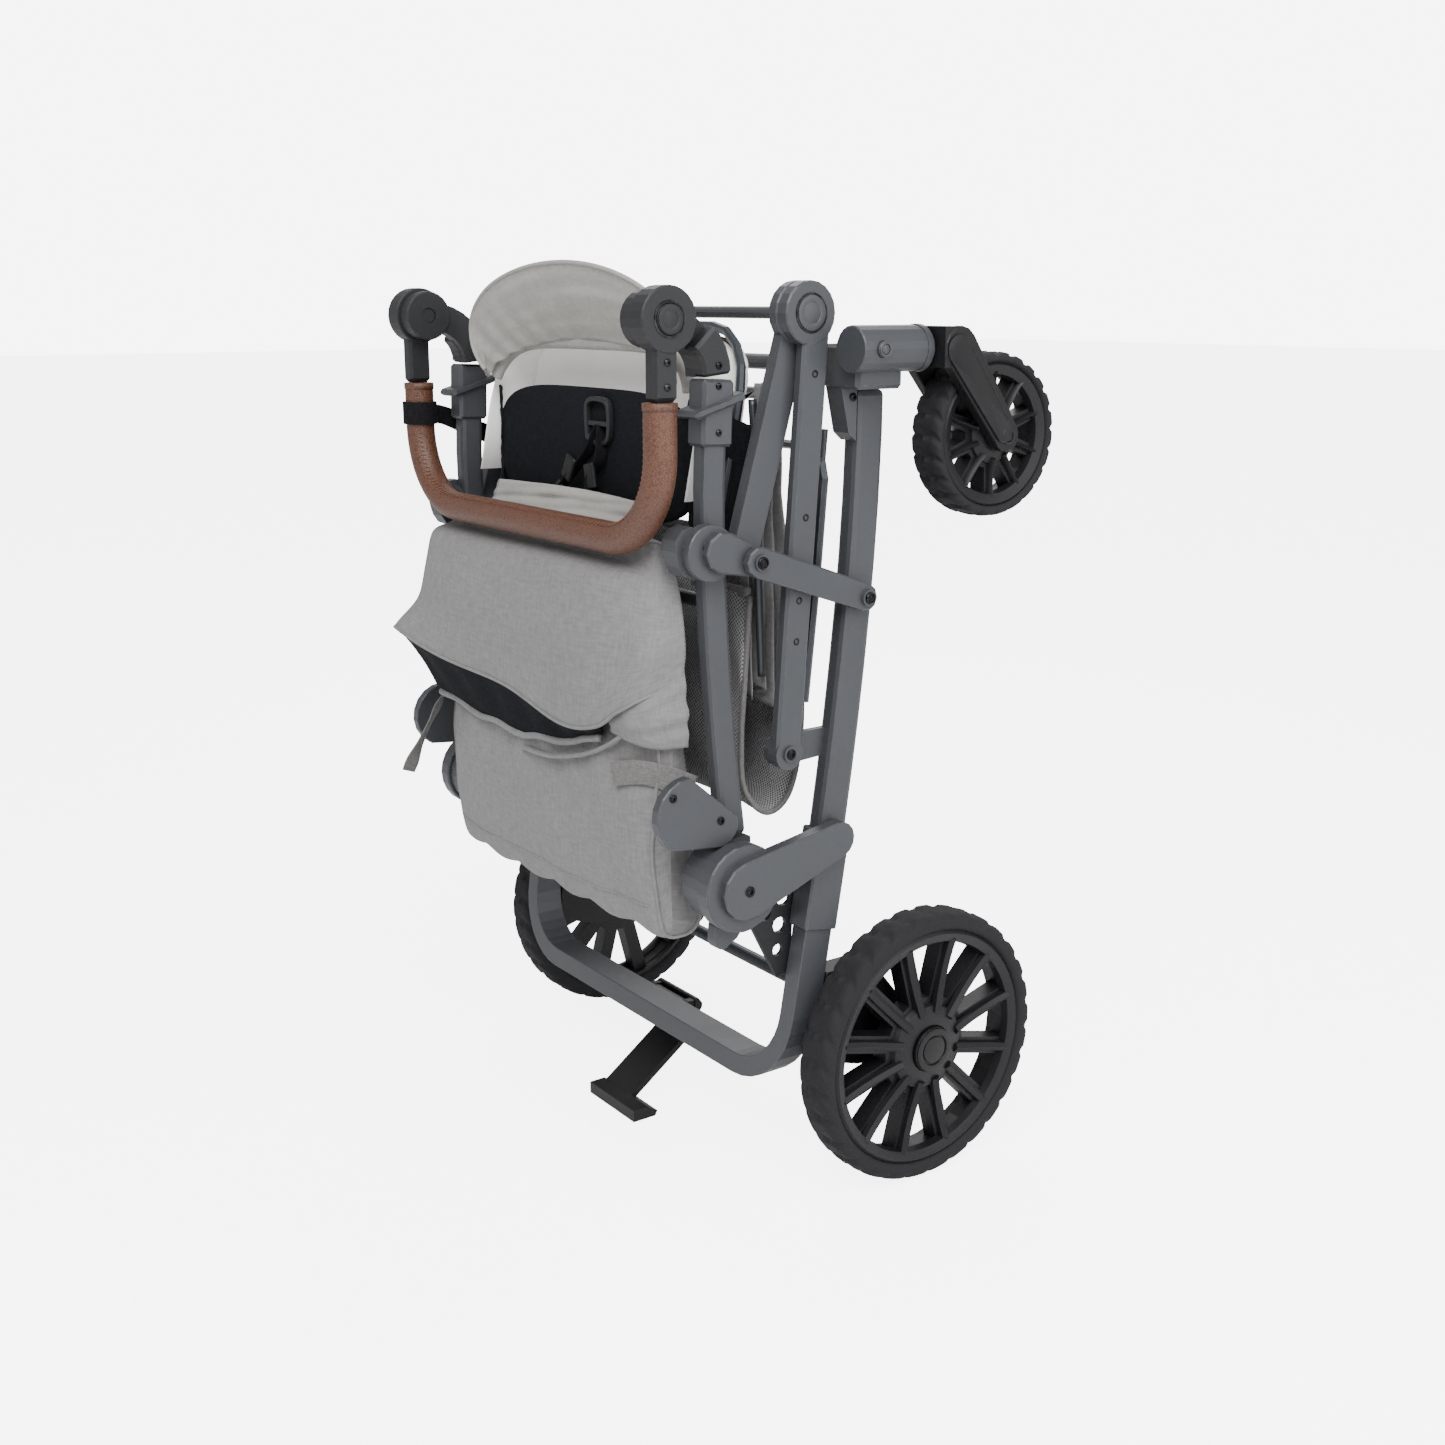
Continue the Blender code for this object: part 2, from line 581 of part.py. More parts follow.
def make_grip():
    """U-shaped bar covered in leather."""
    y, low, inset = -0.288, GRIP_BOTTOM + GRIP_CORNER, HANDLE_X - GRIP_CORNER
    left = [(-HANDLE_X, y, z) for z in (0.8320, 0.808)]
    left += [(-inset + u, y, v) for u, v in arc((0, low), GRIP_CORNER, 180, 270, 8)]
    right = [(-x, yy, z) for x, yy, z in reversed(left)]
    return rod("handlebar_grip", left + right, GRIP_R, 3)


def make_grip_strap():
    """Webbing band round the left arm of the grip, with its tail past the handle tube."""
    band_out = [(x, y) for x, y in circle((-HANDLE_X, -0.288), 0.0205, 20)]
    band_in = [(x, y) for x, y in circle((-HANDLE_X, -0.288), 0.0168, 20)]
    loop = plate("grip_strap", [band_out, band_in], 0.7860, 0.8110, axis="Z")
    tail = plate("tail", [[(-0.2560, 0.8080), (-0.2560, 0.7840), (-0.1830, 0.7560), (-0.1830, 0.7760)]],
                 -0.2605, -0.2585)
    inset = plate("inset", [[(-0.2740, 0.8110), (-0.2740, 0.7860), (-0.2550, 0.7840), (-0.2550, 0.8080)]],
                  -0.2605, -0.2560)
    return joined(loop, inset, tail)


# ---- folding links ---------------------------------------------------------------------------
def make_top_rail_frame():
    """Both top rails with the inner halves of their knuckles, joined by a cross tube."""
    path = [RAIL_PIVOT, KNUCKLE]
    rail = plate("top_rail_frame", [band(path, LINK_DEPTH / 2)], *RAIL_LAYER, edge=0.003)
    eye = plate("eye", [circle(RAIL_PIVOT, 0.0118, 16)], *RAIL_LAYER)
    knuckle = plate("knuckle", [circle(KNUCKLE, KNUCKLE_R, 20)],
                    RAIL_LAYER[0] + 0.002, RAIL_LAYER[1] + 0.0012, edge=0.002)
    bore = plate("bore", [circle(RAIL_PIVOT, 0.0056, 14)], 0.2300, 0.2700)
    right = cut(joined(rail, eye, knuckle), bore)
    bar = plate("bar", [circle(KNUCKLE, 0.0060, 14)], -0.2470, 0.2470)
    return joined(right, mirrored(right), bar)


def make_post_frame():
    """Both front posts with the outer halves of their knuckles, joined by a cross tube."""
    path = [POST_PIVOT, (-0.1280, 0.8950)]
    post = plate("post_frame", [band(path, LINK_DEPTH / 2)], *POST_LAYER, edge=0.003)
    foot = plate("foot", [circle(POST_PIVOT, 0.0165, 20)], *POST_LAYER)
    knuckle = plate("knuckle", [circle(KNUCKLE, KNUCKLE_R, 20)],
                    POST_LAYER[0], POST_LAYER[1] + 0.0005, edge=0.002)
    bore = plate("bore", [circle(POST_PIVOT, 0.0056, 14)], 0.2500, 0.2900)
    right = cut(joined(post, foot, knuckle), bore)
    bar = plate("bar", [circle((-0.1220, 0.8330), 0.0060, 14)], -0.2630, 0.2630)
    return joined(right, mirrored(right), bar)


def make_latch():
    """Flat fold-lock link from the corner bracket to the side rail's stud."""
    bar = plate("latch_right", [capsule(RAIL_PIVOT, 0.0150, LATCH_END, 0.0135)], *LATCH_LAYER, edge=0.0015)
    bore = plate("bore", [circle(RAIL_PIVOT, 0.0056, 14)], 0.2700, 0.2900)
    boss = plate("boss", [circle(LATCH_END, 0.0085, 16)], 0.2840, 0.2890)
    return joined(cut(bar, bore), boss)


# ---- canopy and pedal ------------------------------------------------------------------------
def bow_y(z):
    """The canopy bow leans forward from its pivot."""
    return CANOPY_PIVOT[0] + 0.20 * (z - CANOPY_PIVOT[1])


def make_canopy_bow():
    """Wire bow of the canopy, from pivot to pivot."""
    side, top, corner = 0.2150, 0.8980, 0.060
    right = [(side, bow_y(z), z) for z in (0.672, 0.760, top - corner)]
    for a in np.radians((22.5, 45, 67.5, 90)):
        z = top - corner + corner * math.sin(a)
        right.append((side - corner + corner * math.cos(a), bow_y(z), z))
    left = [(-x, y, z) for x, y, z in reversed(right)]
    return rod("canopy_bow", right + left, 0.0048, 2)


def make_canopy_hood():
    """Canopy fabric behind the bow: top, sides and front wall, open towards the handlebar."""
    def arch(half, top, corner):
        line = [(half, 0.730)] + arc((half - corner, top - corner), corner, 0, 90, 6)
        return line + arc((corner - half, top - corner), corner, 90, 180, 6) + [(-half, 0.730)]

    outer = plate("canopy_hood", [arch(0.2085, 0.8905, 0.060)], -0.2070, -0.1530, axis="Y")
    inner = plate("inner", [[(x, z - 0.1 * (z < 0.74)) for x, z in arch(0.2045, 0.8865, 0.056)]],
                  -0.2200, -0.1570, axis="Y")
    hood = cut(outer, inner)
    for vertex in hood.data.vertices:
        vertex.co.y += 0.20 * (vertex.co.z - 0.870)
    return hood


def make_canopy_visor():
    """Stiffened visor that stands up from the bow and leans back over the handle."""
    def place(u, v):
        angle = math.pi * (0.06 + 0.88 * u)
        low = Vector((0.190 * math.cos(angle), -0.2310 + 0.016 * math.sin(angle),
                      0.8060 + 0.0780 * math.sin(angle)))
        high = Vector((0.203 * math.cos(angle), -0.2430, 0.8160 + 0.1420 * math.sin(angle)))
        return low.lerp(high, v)

    return sheet("canopy_visor", place, 18, 3, 0.004)


def make_brake_pedal():
    """Brake pedal: riser with lugs and pin, sloping arm, and the foot that stands on the floor."""
    riser = plate("brake_pedal", [rectangle(-0.0930, -0.0865, 0.0600, 0.1240)], -0.0620, 0.0180,
                  edge=0.0015)
    arm = plate("arm", [band([(-0.0885, 0.0665), (-0.1700, 0.0080)], 0.0035)], -0.0612, -0.0060)
    sole = [(-0.1900, 0), (-0.1600, 0), (-0.1570, 0.0060), (-0.1700, 0.0140), (-0.1900, 0.0140)]
    foot = plate("foot", [sole],
                 -0.0640, 0.0320)
    pin = plate("pin", [circle(PEDAL_PIVOT, 0.0040, 12)], -0.0590, 0.0150)
    lugs = []
    for low, high in ((-0.0606, -0.0515), (0.0075, 0.0166)):
        reach = (-0.0895, PEDAL_PIVOT[1])
        lugs.append(plate("lug", [capsule(PEDAL_PIVOT, 0.0085, reach, 0.0080)], low, high))
    return joined(riser, arm, foot, *lugs, pin)


# ---- assembly --------------------------------------------------------------------------------
def material(finish):
    """One Principled material for each piece."""
    colour, roughness, metallic = COLOURS[finish]
    made = bpy.data.materials.new(finish)
    made.use_nodes = True
    shader = made.node_tree.nodes["Principled BSDF"]
    shader.inputs["Base Color"].default_value = (*colour, 1)
    shader.inputs["Roughness"].default_value = roughness
    shader.inputs["Metallic"].default_value = metallic
    return made


def dressed(obj, finish):
    """Shade a piece smooth but for its sharp edges, and give it its own material."""
    obj.data.materials.clear()
    obj.data.materials.append(material(finish))
    obj.data.shade_smooth()
    obj.data.set_sharp_from_angle(angle=math.radians(35))
    return obj


def carrier(name, location, pieces, parent):
    """An empty on a joint's axis that carries the pieces that turn or slide there."""
    empty = bpy.data.objects.new(name, None)
    PARTS.objects.link(empty)
    empty.parent = parent
    empty.location = Vector(location)
    if parent is not None and parent.name != "axle_frame":
        empty.location = Vector(location) - Vector(parent["place"])
    empty["place"] = location
    for piece in pieces:
        piece.parent = empty
        piece.matrix_parent_inverse = Matrix.Translation(-Vector(location))
    return empty


def pair(obj, finish):
    """Dress a right-hand piece and its left-hand copy."""
    left = mirrored(obj)
    return dressed(obj, finish), dressed(left, finish)


def build():
    """Make every piece and hang it on its body."""
    root = bpy.data.objects.new("axle_frame", None)
    PARTS.objects.link(root)
    root.location = (0, AXLE_Y, 0)

    fixed = [*pair(make_side_rail(), "frame"), *pair(make_hinge_arm(), "frame"),
             *pair(make_brace_plate(), "charcoal"), *pair(make_axle_housing(), "black"),
             *pair(make_caster_socket(), "frame"), dressed(make_base_bow(), "frame"),
             dressed(make_rear_axle(), "steel"), dressed(make_floor_hoop(), "steel"),
             dressed(make_front_cross_bar(), "frame"), dressed(make_cabin_mesh(), "mesh")]
    carrier("chassis", (0, 0, 0), fixed, root)
    carrier("pedal_hinge", (0, *PEDAL_PIVOT), [dressed(make_brake_pedal(), "black")], root)

    rear = (REAR_X, 0, REAR_R)
    front = (FRONT_X, FRONT_Y, FRONT_Z)
    rim = make_rim("rear_wheel_right", rear, REAR_RIM_R, REAR_WIDTH, 0.026, 0.0086, 12, 40)
    rear_rims = pair(rim, "wheel")
    rear_tyres = pair(make_tyre("rear_tyre_right", rear, REAR_R, REAR_RIM_R, REAR_WIDTH, 40), "tyre")
    caps = pair(make_hub_cap(), "black")
    forks = pair(make_caster_fork(), "black")
    rim = make_rim("front_wheel_right", front, FRONT_RIM_R, FRONT_WIDTH, 0.016, 0.0056, 10, 28)
    front_rims = pair(rim, "wheel")
    front_tyres = pair(make_tyre("front_tyre_right", front, FRONT_R, FRONT_RIM_R, FRONT_WIDTH, 28), "tyre")
    buttons = pair(make_caster_button(), "frame")
    for index, side in enumerate((1, -1)):
        hand = ("right", "left")[index]
        carrier("rear_axle_" + hand, (side * REAR_X, 0, REAR_R),
                [rear_rims[index], rear_tyres[index], caps[index]], root)
        swivel = carrier("caster_" + hand, (side * FRONT_X, FRONT_Y, CASTER_Z), [forks[index]], root)
        carrier("front_axle_" + hand, (side * FRONT_X, FRONT_Y, FRONT_Z),
                [front_rims[index], front_tyres[index]], swivel)
        carrier("caster_lock_" + hand, (side * 0.314, -0.086, CASTER_Z), [buttons[index]], root)

    soft = [dressed(make_storage_bag(), "heather"), dressed(make_bag_flap(), "heather"),
            dressed(make_back_panel(), "lining"), dressed(make_harness_buckle(), "charcoal")]
    hard = [*pair(make_handle_tube(), "frame"), *pair(make_hinge_drum(), "frame"),
            *pair(make_side_cover(), "frame"), *pair(make_corner_bracket(), "frame"),
            *pair(make_elbow(), "charcoal"), dressed(make_rear_cross_bar(), "steel")]
    handle = carrier("fold_hinge", (0, *FOLD), soft + hard, root)
    collars = pair(make_release_collar(), "frame")
    latches = pair(make_latch(), "frame")
    knobs = pair(make_handle_button(), "charcoal")
    arms = pair(make_handlebar_arm(), "charcoal")
    grip = [dressed(make_grip(), "leather"), dressed(make_grip_strap(), "black"), *arms]
    bar = carrier("handlebar_hinge", (0, *HANDLE_PIVOT), grip, handle)
    for index, side in enumerate((1, -1)):
        hand = ("right", "left")[index]
        carrier("collar_slide_" + hand, (side * TUBE_X, -0.228, 0.82), [collars[index]], handle)
        carrier("latch_hinge_" + hand, (side * 0.280, *RAIL_PIVOT), [latches[index]], handle)
        carrier("button_slide_" + hand, (side * 0.258, *HANDLE_PIVOT), [knobs[index]], bar)
    carrier("canopy_hinge", (0, *CANOPY_PIVOT),
            [dressed(make_canopy_bow(), "steel"), dressed(make_canopy_hood(), "canopy"),
             dressed(make_canopy_visor(), "canopy")], handle)
    carrier("top_rail_hinge", (0, *RAIL_PIVOT), [dressed(make_top_rail_frame(), "frame")], handle)
    carrier("post_hinge", (0, *POST_PIVOT), [dressed(make_post_frame(), "frame")], root)
    bpy.context.view_layer.update()


for old in list(bpy.data.objects):
    bpy.data.objects.remove(old)
PARTS = collection("pet_stroller")
CUTTERS = collection("cutters")
build()
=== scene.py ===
"""Looks of the folded pet stroller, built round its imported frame."""
import json
import logging
import math
from dataclasses import dataclass
from enum import Enum

import bmesh
import bpy
import numpy as np
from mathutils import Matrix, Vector


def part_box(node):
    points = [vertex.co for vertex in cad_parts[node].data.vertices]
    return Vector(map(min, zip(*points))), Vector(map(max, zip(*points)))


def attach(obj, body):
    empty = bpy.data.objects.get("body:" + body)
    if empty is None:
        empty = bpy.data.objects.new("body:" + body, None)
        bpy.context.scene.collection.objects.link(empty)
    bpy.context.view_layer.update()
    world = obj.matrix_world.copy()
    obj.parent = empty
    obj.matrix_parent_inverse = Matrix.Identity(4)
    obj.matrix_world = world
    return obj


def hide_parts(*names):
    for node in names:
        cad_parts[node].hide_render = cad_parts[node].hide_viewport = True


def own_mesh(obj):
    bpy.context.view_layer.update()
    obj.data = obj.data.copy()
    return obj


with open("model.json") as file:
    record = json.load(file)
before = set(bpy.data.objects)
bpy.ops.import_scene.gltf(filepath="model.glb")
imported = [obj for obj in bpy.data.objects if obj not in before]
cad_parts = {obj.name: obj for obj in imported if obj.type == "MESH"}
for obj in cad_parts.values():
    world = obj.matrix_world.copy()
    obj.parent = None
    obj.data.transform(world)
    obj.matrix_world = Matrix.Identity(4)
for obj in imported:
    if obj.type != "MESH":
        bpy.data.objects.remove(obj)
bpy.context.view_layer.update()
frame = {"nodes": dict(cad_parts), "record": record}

LOG = logging.getLogger("stroller")
Colour = tuple[float, float, float]
Array = np.ndarray
AXLE_Y = sum(corner.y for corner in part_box("rear_axle")) / 2
HALF_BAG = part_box("storage_bag")[1].x
TAU = 2 * math.pi
DUST_COLOUR: Colour = (0.20, 0.195, 0.19)


class Side(Enum):
    """Hand of a piece: which way it lies along X."""

    RIGHT = 1
    LEFT = -1

    @property
    def word(self) -> str:
        """The ending of a node's name on this side."""
        return self.name.lower()


# ---- surfaces --------------------------------------------------------------------------------
def spot(x: Array | float, y: Array | float, z: Array | float) -> Array:
    """Points from a place measured from the rear axle's middle on the floor: Y moves by the axle's Y."""
    x, y, z = np.broadcast_arrays(np.asarray(x, float), np.asarray(y, float) + AXLE_Y, np.asarray(z, float))
    return np.stack([x, y, z], -1)


def span(count: int, low: float = 0.0, high: float = 1.0) -> Array:
    """Evenly spaced values, both ends included."""
    return np.linspace(low, high, count)


def flow(knots: list, count: int) -> Array:
    """Smooth line through knots: a cubic Hermite with Catmull-Rom slopes.

    Args:
        knots: Points of any dimension.
        count: Points on the line.

    Returns:
        An array of count points, ends included.
    """
    k = np.asarray(knots, float)
    k = np.vstack([2 * k[0] - k[1], k, 2 * k[-1] - k[-2]])
    t = span(count, 0, len(k) - 3)
    i = np.minimum(t.astype(int), len(k) - 4)
    f = (t - i)[:, None]
    a, b, c, d = k[i], k[i + 1], k[i + 2], k[i + 3]
    return 0.5 * (2 * b + (c - a) * f + (2 * a - 5 * b + 4 * c - d) * f ** 2
                  + (3 * b - a - 3 * c + d) * f ** 3)


def patch(rows: Array, across: int, along: int) -> Array:
    """Bicubic patch: a smooth line through each row of points, and then down each column of those.

    Args:
        rows: Array (rows, columns, 3) of points.
        across: Points along the rows.
        along: Points down the columns.

    Returns:
        Array (across, along, 3).
    """
    count, columns = rows.shape[:2]
    wide = flow(rows.transpose(1, 0, 2).reshape(columns, -1), across).reshape(across, count, 3)
    tall = flow(wide.transpose(1, 0, 2).reshape(count, -1), along).reshape(along, across, 3)
    return tall.transpose(1, 0, 2)


def ripple(u: Array, v: Array, seed: int, waves: int = 7, reach: float = 4.0) -> Array:
    """Soft creases: a sum of plane waves with seeded directions, scaled to about -1 to 1.

    Args:
        u: First place on the surface.
        v: Second place on the surface.
        seed: Seed of the waves' directions and phases.
        waves: How many waves are added.
        reach: Spread of the waves' numbers.

    Returns:
        An array of the places' common shape.
    """
    rng = np.random.default_rng(seed)
    total = np.zeros(np.broadcast(u, v).shape)
    for _ in range(waves):
        a, b, phase = rng.normal(0, reach), rng.normal(0, reach), rng.uniform(0, TAU)
        total = total + np.sin(TAU * (a * u + b * v) / 2 + phase)
    return total / math.sqrt(waves)


def steps(points: Array) -> Array:
    """Mean distance run along the first direction of a grid, in metres."""
    run = np.linalg.norm(np.diff(points, axis=0), axis=-1).mean(1)
    return np.concatenate([[0], np.cumsum(run)])


def grid(name: str, points: Array, wrap_u: bool = False, wrap_v: bool = False) -> bpy.types.Object:
    """Mesh of quads over a grid of points, with a UV map in metres.

    Args:
        name: Name of the object.
        points: Array (u, v, 3).
        wrap_u: Whether the last row joins the first.
        wrap_v: Whether the last column joins the first.

    Returns:
        The new object, welded, with its faces turned outwards.
    """
    nu, nv = points.shape[:2]
    ids = np.arange(nu * nv).reshape(nu, nv)
    a, b = np.meshgrid(np.arange(nu - (not wrap_u)), np.arange(nv - (not wrap_v)), indexing="ij")
    corner_u = np.stack([a, a + 1, a + 1, a], -1).reshape(-1, 4)
    corner_v = np.stack([b, b, b + 1, b + 1], -1).reshape(-1, 4)
    faces = ids[corner_u % nu, corner_v % nv]
    mesh = bpy.data.meshes.new(name)
    mesh.from_pydata(points.reshape(-1, 3).tolist(), [], faces.tolist())
    run_u = steps(np.concatenate([points, points[:1]]))
    run_v = steps(np.concatenate([points, points[:, :1]], 1).transpose(1, 0, 2))
    layer = mesh.uv_layers.new(name="UVMap")
    layer.data.foreach_set("uv", np.stack([run_u[corner_u], run_v[corner_v]], -1).ravel())
    return clean(name, mesh)


def clean(name: str, mesh: bpy.types.Mesh) -> bpy.types.Object:
    """Weld a mesh, turn its faces outwards, shade it smooth and put it in the scene.

    Args:
        name: Name of the object.
        mesh: Its mesh.

    Returns:
        The new object.
    """
    bm = bmesh.new()
    bm.from_mesh(mesh)
    bmesh.ops.remove_doubles(bm, verts=bm.verts, dist=1e-5)
    bmesh.ops.recalc_face_normals(bm, faces=bm.faces)
    bm.to_mesh(mesh)
    bm.free()
    mesh.shade_smooth()
    obj = bpy.data.objects.new(name, mesh)
    bpy.context.scene.collection.objects.link(obj)
    return obj


def ring(radius: float, count: int, squash: float = 1.0) -> Array:
    """Circle or ellipse profile: (r cos t, squash r sin t)."""
    t = span(count + 1, 0, TAU)[:-1]
    return np.stack([radius * np.cos(t), squash * radius * np.sin(t)], -1)


def signed(value: Array, power: float) -> Array:
    """Signed power, sign(value) |value|^power, which squares up a circle's cosine or sine."""
    return np.sign(value) * np.abs(value) ** power


def slab(width: float, height: float, corner: float = 0.3) -> Array:
    """Rounded rectangle profile: a superellipse of sixteen points, squarer as corner goes to 0."""
    t = span(17, 0, TAU)[:-1]
    return np.stack([width / 2 * signed(np.cos(t), corner), height / 2 * signed(np.sin(t), corner)], -1)


def looped(outline: Array) -> Array:
    """Close an outline by repeating its first point."""
    return np.concatenate([outline, outline[:1]])


def sweep(name: str, path: Array, profile: Array, side: tuple = (0, 0, 1), closed: bool = False,
          ends: bool = True) -> bpy.types.Object:
    """Carry a profile along a path: point = path + a * across + b * (tangent x across).

    Args:
        name: Name of the object.
        path: Array (n, 3) of points.
        profile: Array (k, 2), a closed outline.
        side: Direction that across is square to.
        closed: Whether the path joins up.
        ends: Whether the ends are drawn in to the path, which closes them.

    Returns:
        The new object.
    """
    tangent = np.gradient(path, axis=0)
    if closed:
        tangent = np.roll(path, -1, 0) - np.roll(path, 1, 0)
    tangent /= np.linalg.norm(tangent, axis=1)[:, None]
    across = np.cross(tangent, np.asarray(side, float))
    across /= np.linalg.norm(across, axis=1)[:, None]
    up = np.cross(tangent, across)
    scale = np.ones(len(path))
    if ends and not closed:
        path = np.concatenate([path[:1], path, path[-1:]])
        across = np.concatenate([across[:1], across, across[-1:]])
        up = np.concatenate([up[:1], up, up[-1:]])
        scale = np.concatenate([[0], scale, [0]])
    points = (path[:, None] + scale[:, None, None]
              * (profile[None, :, :1] * across[:, None] + profile[None, :, 1:] * up[:, None]))
    return grid(name, points, wrap_u=closed, wrap_v=True)


def spun(name: str, profile: Array, centre: Array, axis: int, count: int = 32) -> bpy.types.Object:
    """Turn an (offset, radius) profile round a row axis through a centre; radius 0 closes it.

    Args:
        name: Name of the object.
        profile: Array (n, 2) of offsets along the axis and radii.
        centre: Point that the axis goes through.
        axis: 0, 1 or 2 for X, Y or Z.
        count: Points round the axis.

    Returns:
        The new object.
    """
    t = span(count + 1, 0, TAU)[:-1]
    points = np.zeros((len(profile), count, 3))
    one, two = (axis + 1) % 3, (axis + 2) % 3
    points[..., axis] = profile[:, :1]
    points[..., one] = profile[:, 1:] * np.cos(t)
    points[..., two] = profile[:, 1:] * np.sin(t)
    return grid(name, points + np.asarray(centre, float), wrap_v=True)


def merged(name: str, pieces: list) -> bpy.types.Object:
    """Join small pieces into one object.

    Args:
        name: Name of the object.
        pieces: Objects to join, which are removed.

    Returns:
        The new object.
    """
    bm = bmesh.new()
    for piece in pieces:
        bm.from_mesh(piece.data)
        bpy.data.objects.remove(piece)
    mesh = bpy.data.meshes.new(name)
    bm.to_mesh(mesh)
    bm.free()
    mesh.shade_smooth()
    obj = bpy.data.objects.new(name, mesh)
    bpy.context.scene.collection.objects.link(obj)
    return obj


def thicken(obj: bpy.types.Object, wall: float) -> bpy.types.Object:
    """Give a sheet its thickness, half of it on each side.

    Args:
        obj: The sheet.
        wall: Thickness in metres.

    Returns:
        The same object.
    """
    solid = obj.modifiers.new("wall", "SOLIDIFY")
    solid.thickness = wall
    solid.offset = 0.0
    solid.use_even_offset = False
    return obj


def cloth(points: Array) -> None:
    """Work out a sheet's cut, the longest run each way and its grid's area, |d1 x d2| / 2 a quad, and keep
    none of it.

    Args:
        points: Array (u, v, 3) that it was made from.
    """
    width, length = (float(np.linalg.norm(np.diff(points, axis=i), axis=-1).sum(i).max()) for i in (0, 1))
    one, two = points[1:, 1:] - points[:-1, :-1], points[1:, :-1] - points[:-1, 1:]
    area = float(np.linalg.norm(np.cross(one, two), axis=-1).sum()) / 2
    area = min(area, width * length)


def sharpened(obj: bpy.types.Object, degrees: float = 35) -> bpy.types.Object:
    """Keep the edges that are sharper than an angle crisp."""
    obj.data.set_sharp_from_angle(angle=math.radians(degrees))
    return obj


# ---- shading ---------------------------------------------------------------------------------
class Tree:
    """Short way to write a node tree."""

    def __init__(self, tree: bpy.types.NodeTree) -> None:
        """Hold the tree that nodes are added to."""
        self.tree = tree

    def add(self, kind: str, **sockets) -> bpy.types.Node:
        """Add a node; keywords set sockets (a value, or another node's socket) or the node's own settings.

        Args:
            kind: Node type without the ShaderNode prefix.
            **sockets: in_N for input N, any other name for a property.

        Returns:
            The node.
        """
        node = self.tree.nodes.new(kind if kind.startswith("Node") else "ShaderNode" + kind)
        for key, value in sockets.items():
            if not key.startswith("in_"):
                setattr(node, key, value)
        for key, value in sockets.items():
            if key.startswith("in_"):
                self.set(node, key[3:], value)
        return node

    def set(self, node: bpy.types.Node, key: str, value) -> None:
        """Set or link one input.

        Args:
            node: The node.
            key: The input's number, or its name with _ for spaces.
            value: A value, or another node's socket.
        """
        socket = node.inputs[int(key)] if key.isdigit() else node.inputs[key.replace("_", " ")]
        if isinstance(value, bpy.types.NodeSocket):
            self.tree.links.new(value, socket)
        else:
            socket.default_value = value

    def math(self, operation: str, *values) -> bpy.types.NodeSocket:
        """A Math node's result.

        Args:
            operation: What the node works out.
            *values: Its inputs, each a value or a socket.

        Returns:
            The output socket.
        """
        node = self.add("Math", operation=operation)
        for i, value in enumerate(values):
            self.set(node, str(i), value)
        return node.outputs[0]

    def blend(self, factor, first, second) -> bpy.types.NodeSocket:
        """Mix two colours.

        Args:
            factor: Share of the second, a value or a socket.
            first: A colour or a socket.
            second: A colour or a socket.

        Returns:
            The output socket.
        """
        node = self.add("MixRGB")
        for i, value in enumerate((factor, first, second)):
            value = (*value, 1) if isinstance(value, tuple) and len(value) == 3 else value
            self.set(node, str(i), value)
        return node.outputs[0]


def group(name: str, inputs: dict, outputs: tuple) -> tuple:
    """A new shader node group.

    Args:
        name: Name of the group.
        inputs: Input names with their defaults; None makes a vector.
        outputs: Names of the value outputs.

    Returns:
        The group, its writer, its input sockets by name, and a function that links an output.
    """
    tree = bpy.data.node_groups.new(name, "ShaderNodeTree")
    for key, default in inputs.items():
        kind = "NodeSocketVector" if default is None else "NodeSocketFloat"
        socket = tree.interface.new_socket(key, in_out="INPUT", socket_type=kind)
        if default is not None:
            socket.default_value = default
    for key in outputs:
        tree.interface.new_socket(key, in_out="OUTPUT", socket_type="NodeSocketFloat")
    writer = Tree(tree)
    entry = writer.add("NodeGroupInput")
    leave = writer.add("NodeGroupOutput")

    def link(key: str, value: bpy.types.NodeSocket) -> None:
        """Link a value to one of the group's outputs."""
        tree.links.new(value, leave.inputs[key])

    return tree, writer, {key: entry.outputs[key] for key in inputs}, link


def make_weave() -> bpy.types.NodeTree:
    """Plain weave: threads as crossed sine waves, and heather flecks stretched along the threads.

    Returns:
        The node group.
    """
    tree, w, given, leave = group("plain_weave", {"Vector": None, "Threads": 900.0, "Fleck": 260.0},
                                  ("Height", "Flecks", "Mottle"))
    parts = w.add("SeparateXYZ", in_0=given["Vector"])
    waves = [w.math("SINE", w.math("MULTIPLY", parts.outputs[i], w.math("MULTIPLY", given["Threads"], TAU)))
             for i in (0, 1)]
    leave("Height", w.math("MULTIPLY_ADD", w.math("MULTIPLY", waves[0], waves[1]), 0.5, 0.5))
    warps = [w.add("Mapping", in_Vector=given["Vector"], in_Scale=scale).outputs[0]
             for scale in ((1.0, 0.22, 1.0), (0.22, 1.0, 1.0))]
    flecks = [w.add("TexNoise", in_Vector=warp, in_Scale=given["Fleck"], in_Detail=3.0).outputs[0]
              for warp in warps]
    both = w.math("MULTIPLY", w.math("ADD", flecks[0], flecks[1]), 0.5)
    leave("Flecks", w.add("MapRange", in_0=both, in_1=0.36, in_2=0.64).outputs[0])
    leave("Mottle", w.add("TexNoise", in_Vector=given["Vector"], in_Scale=9.0, in_Detail=4.0).outputs[0])
    return tree


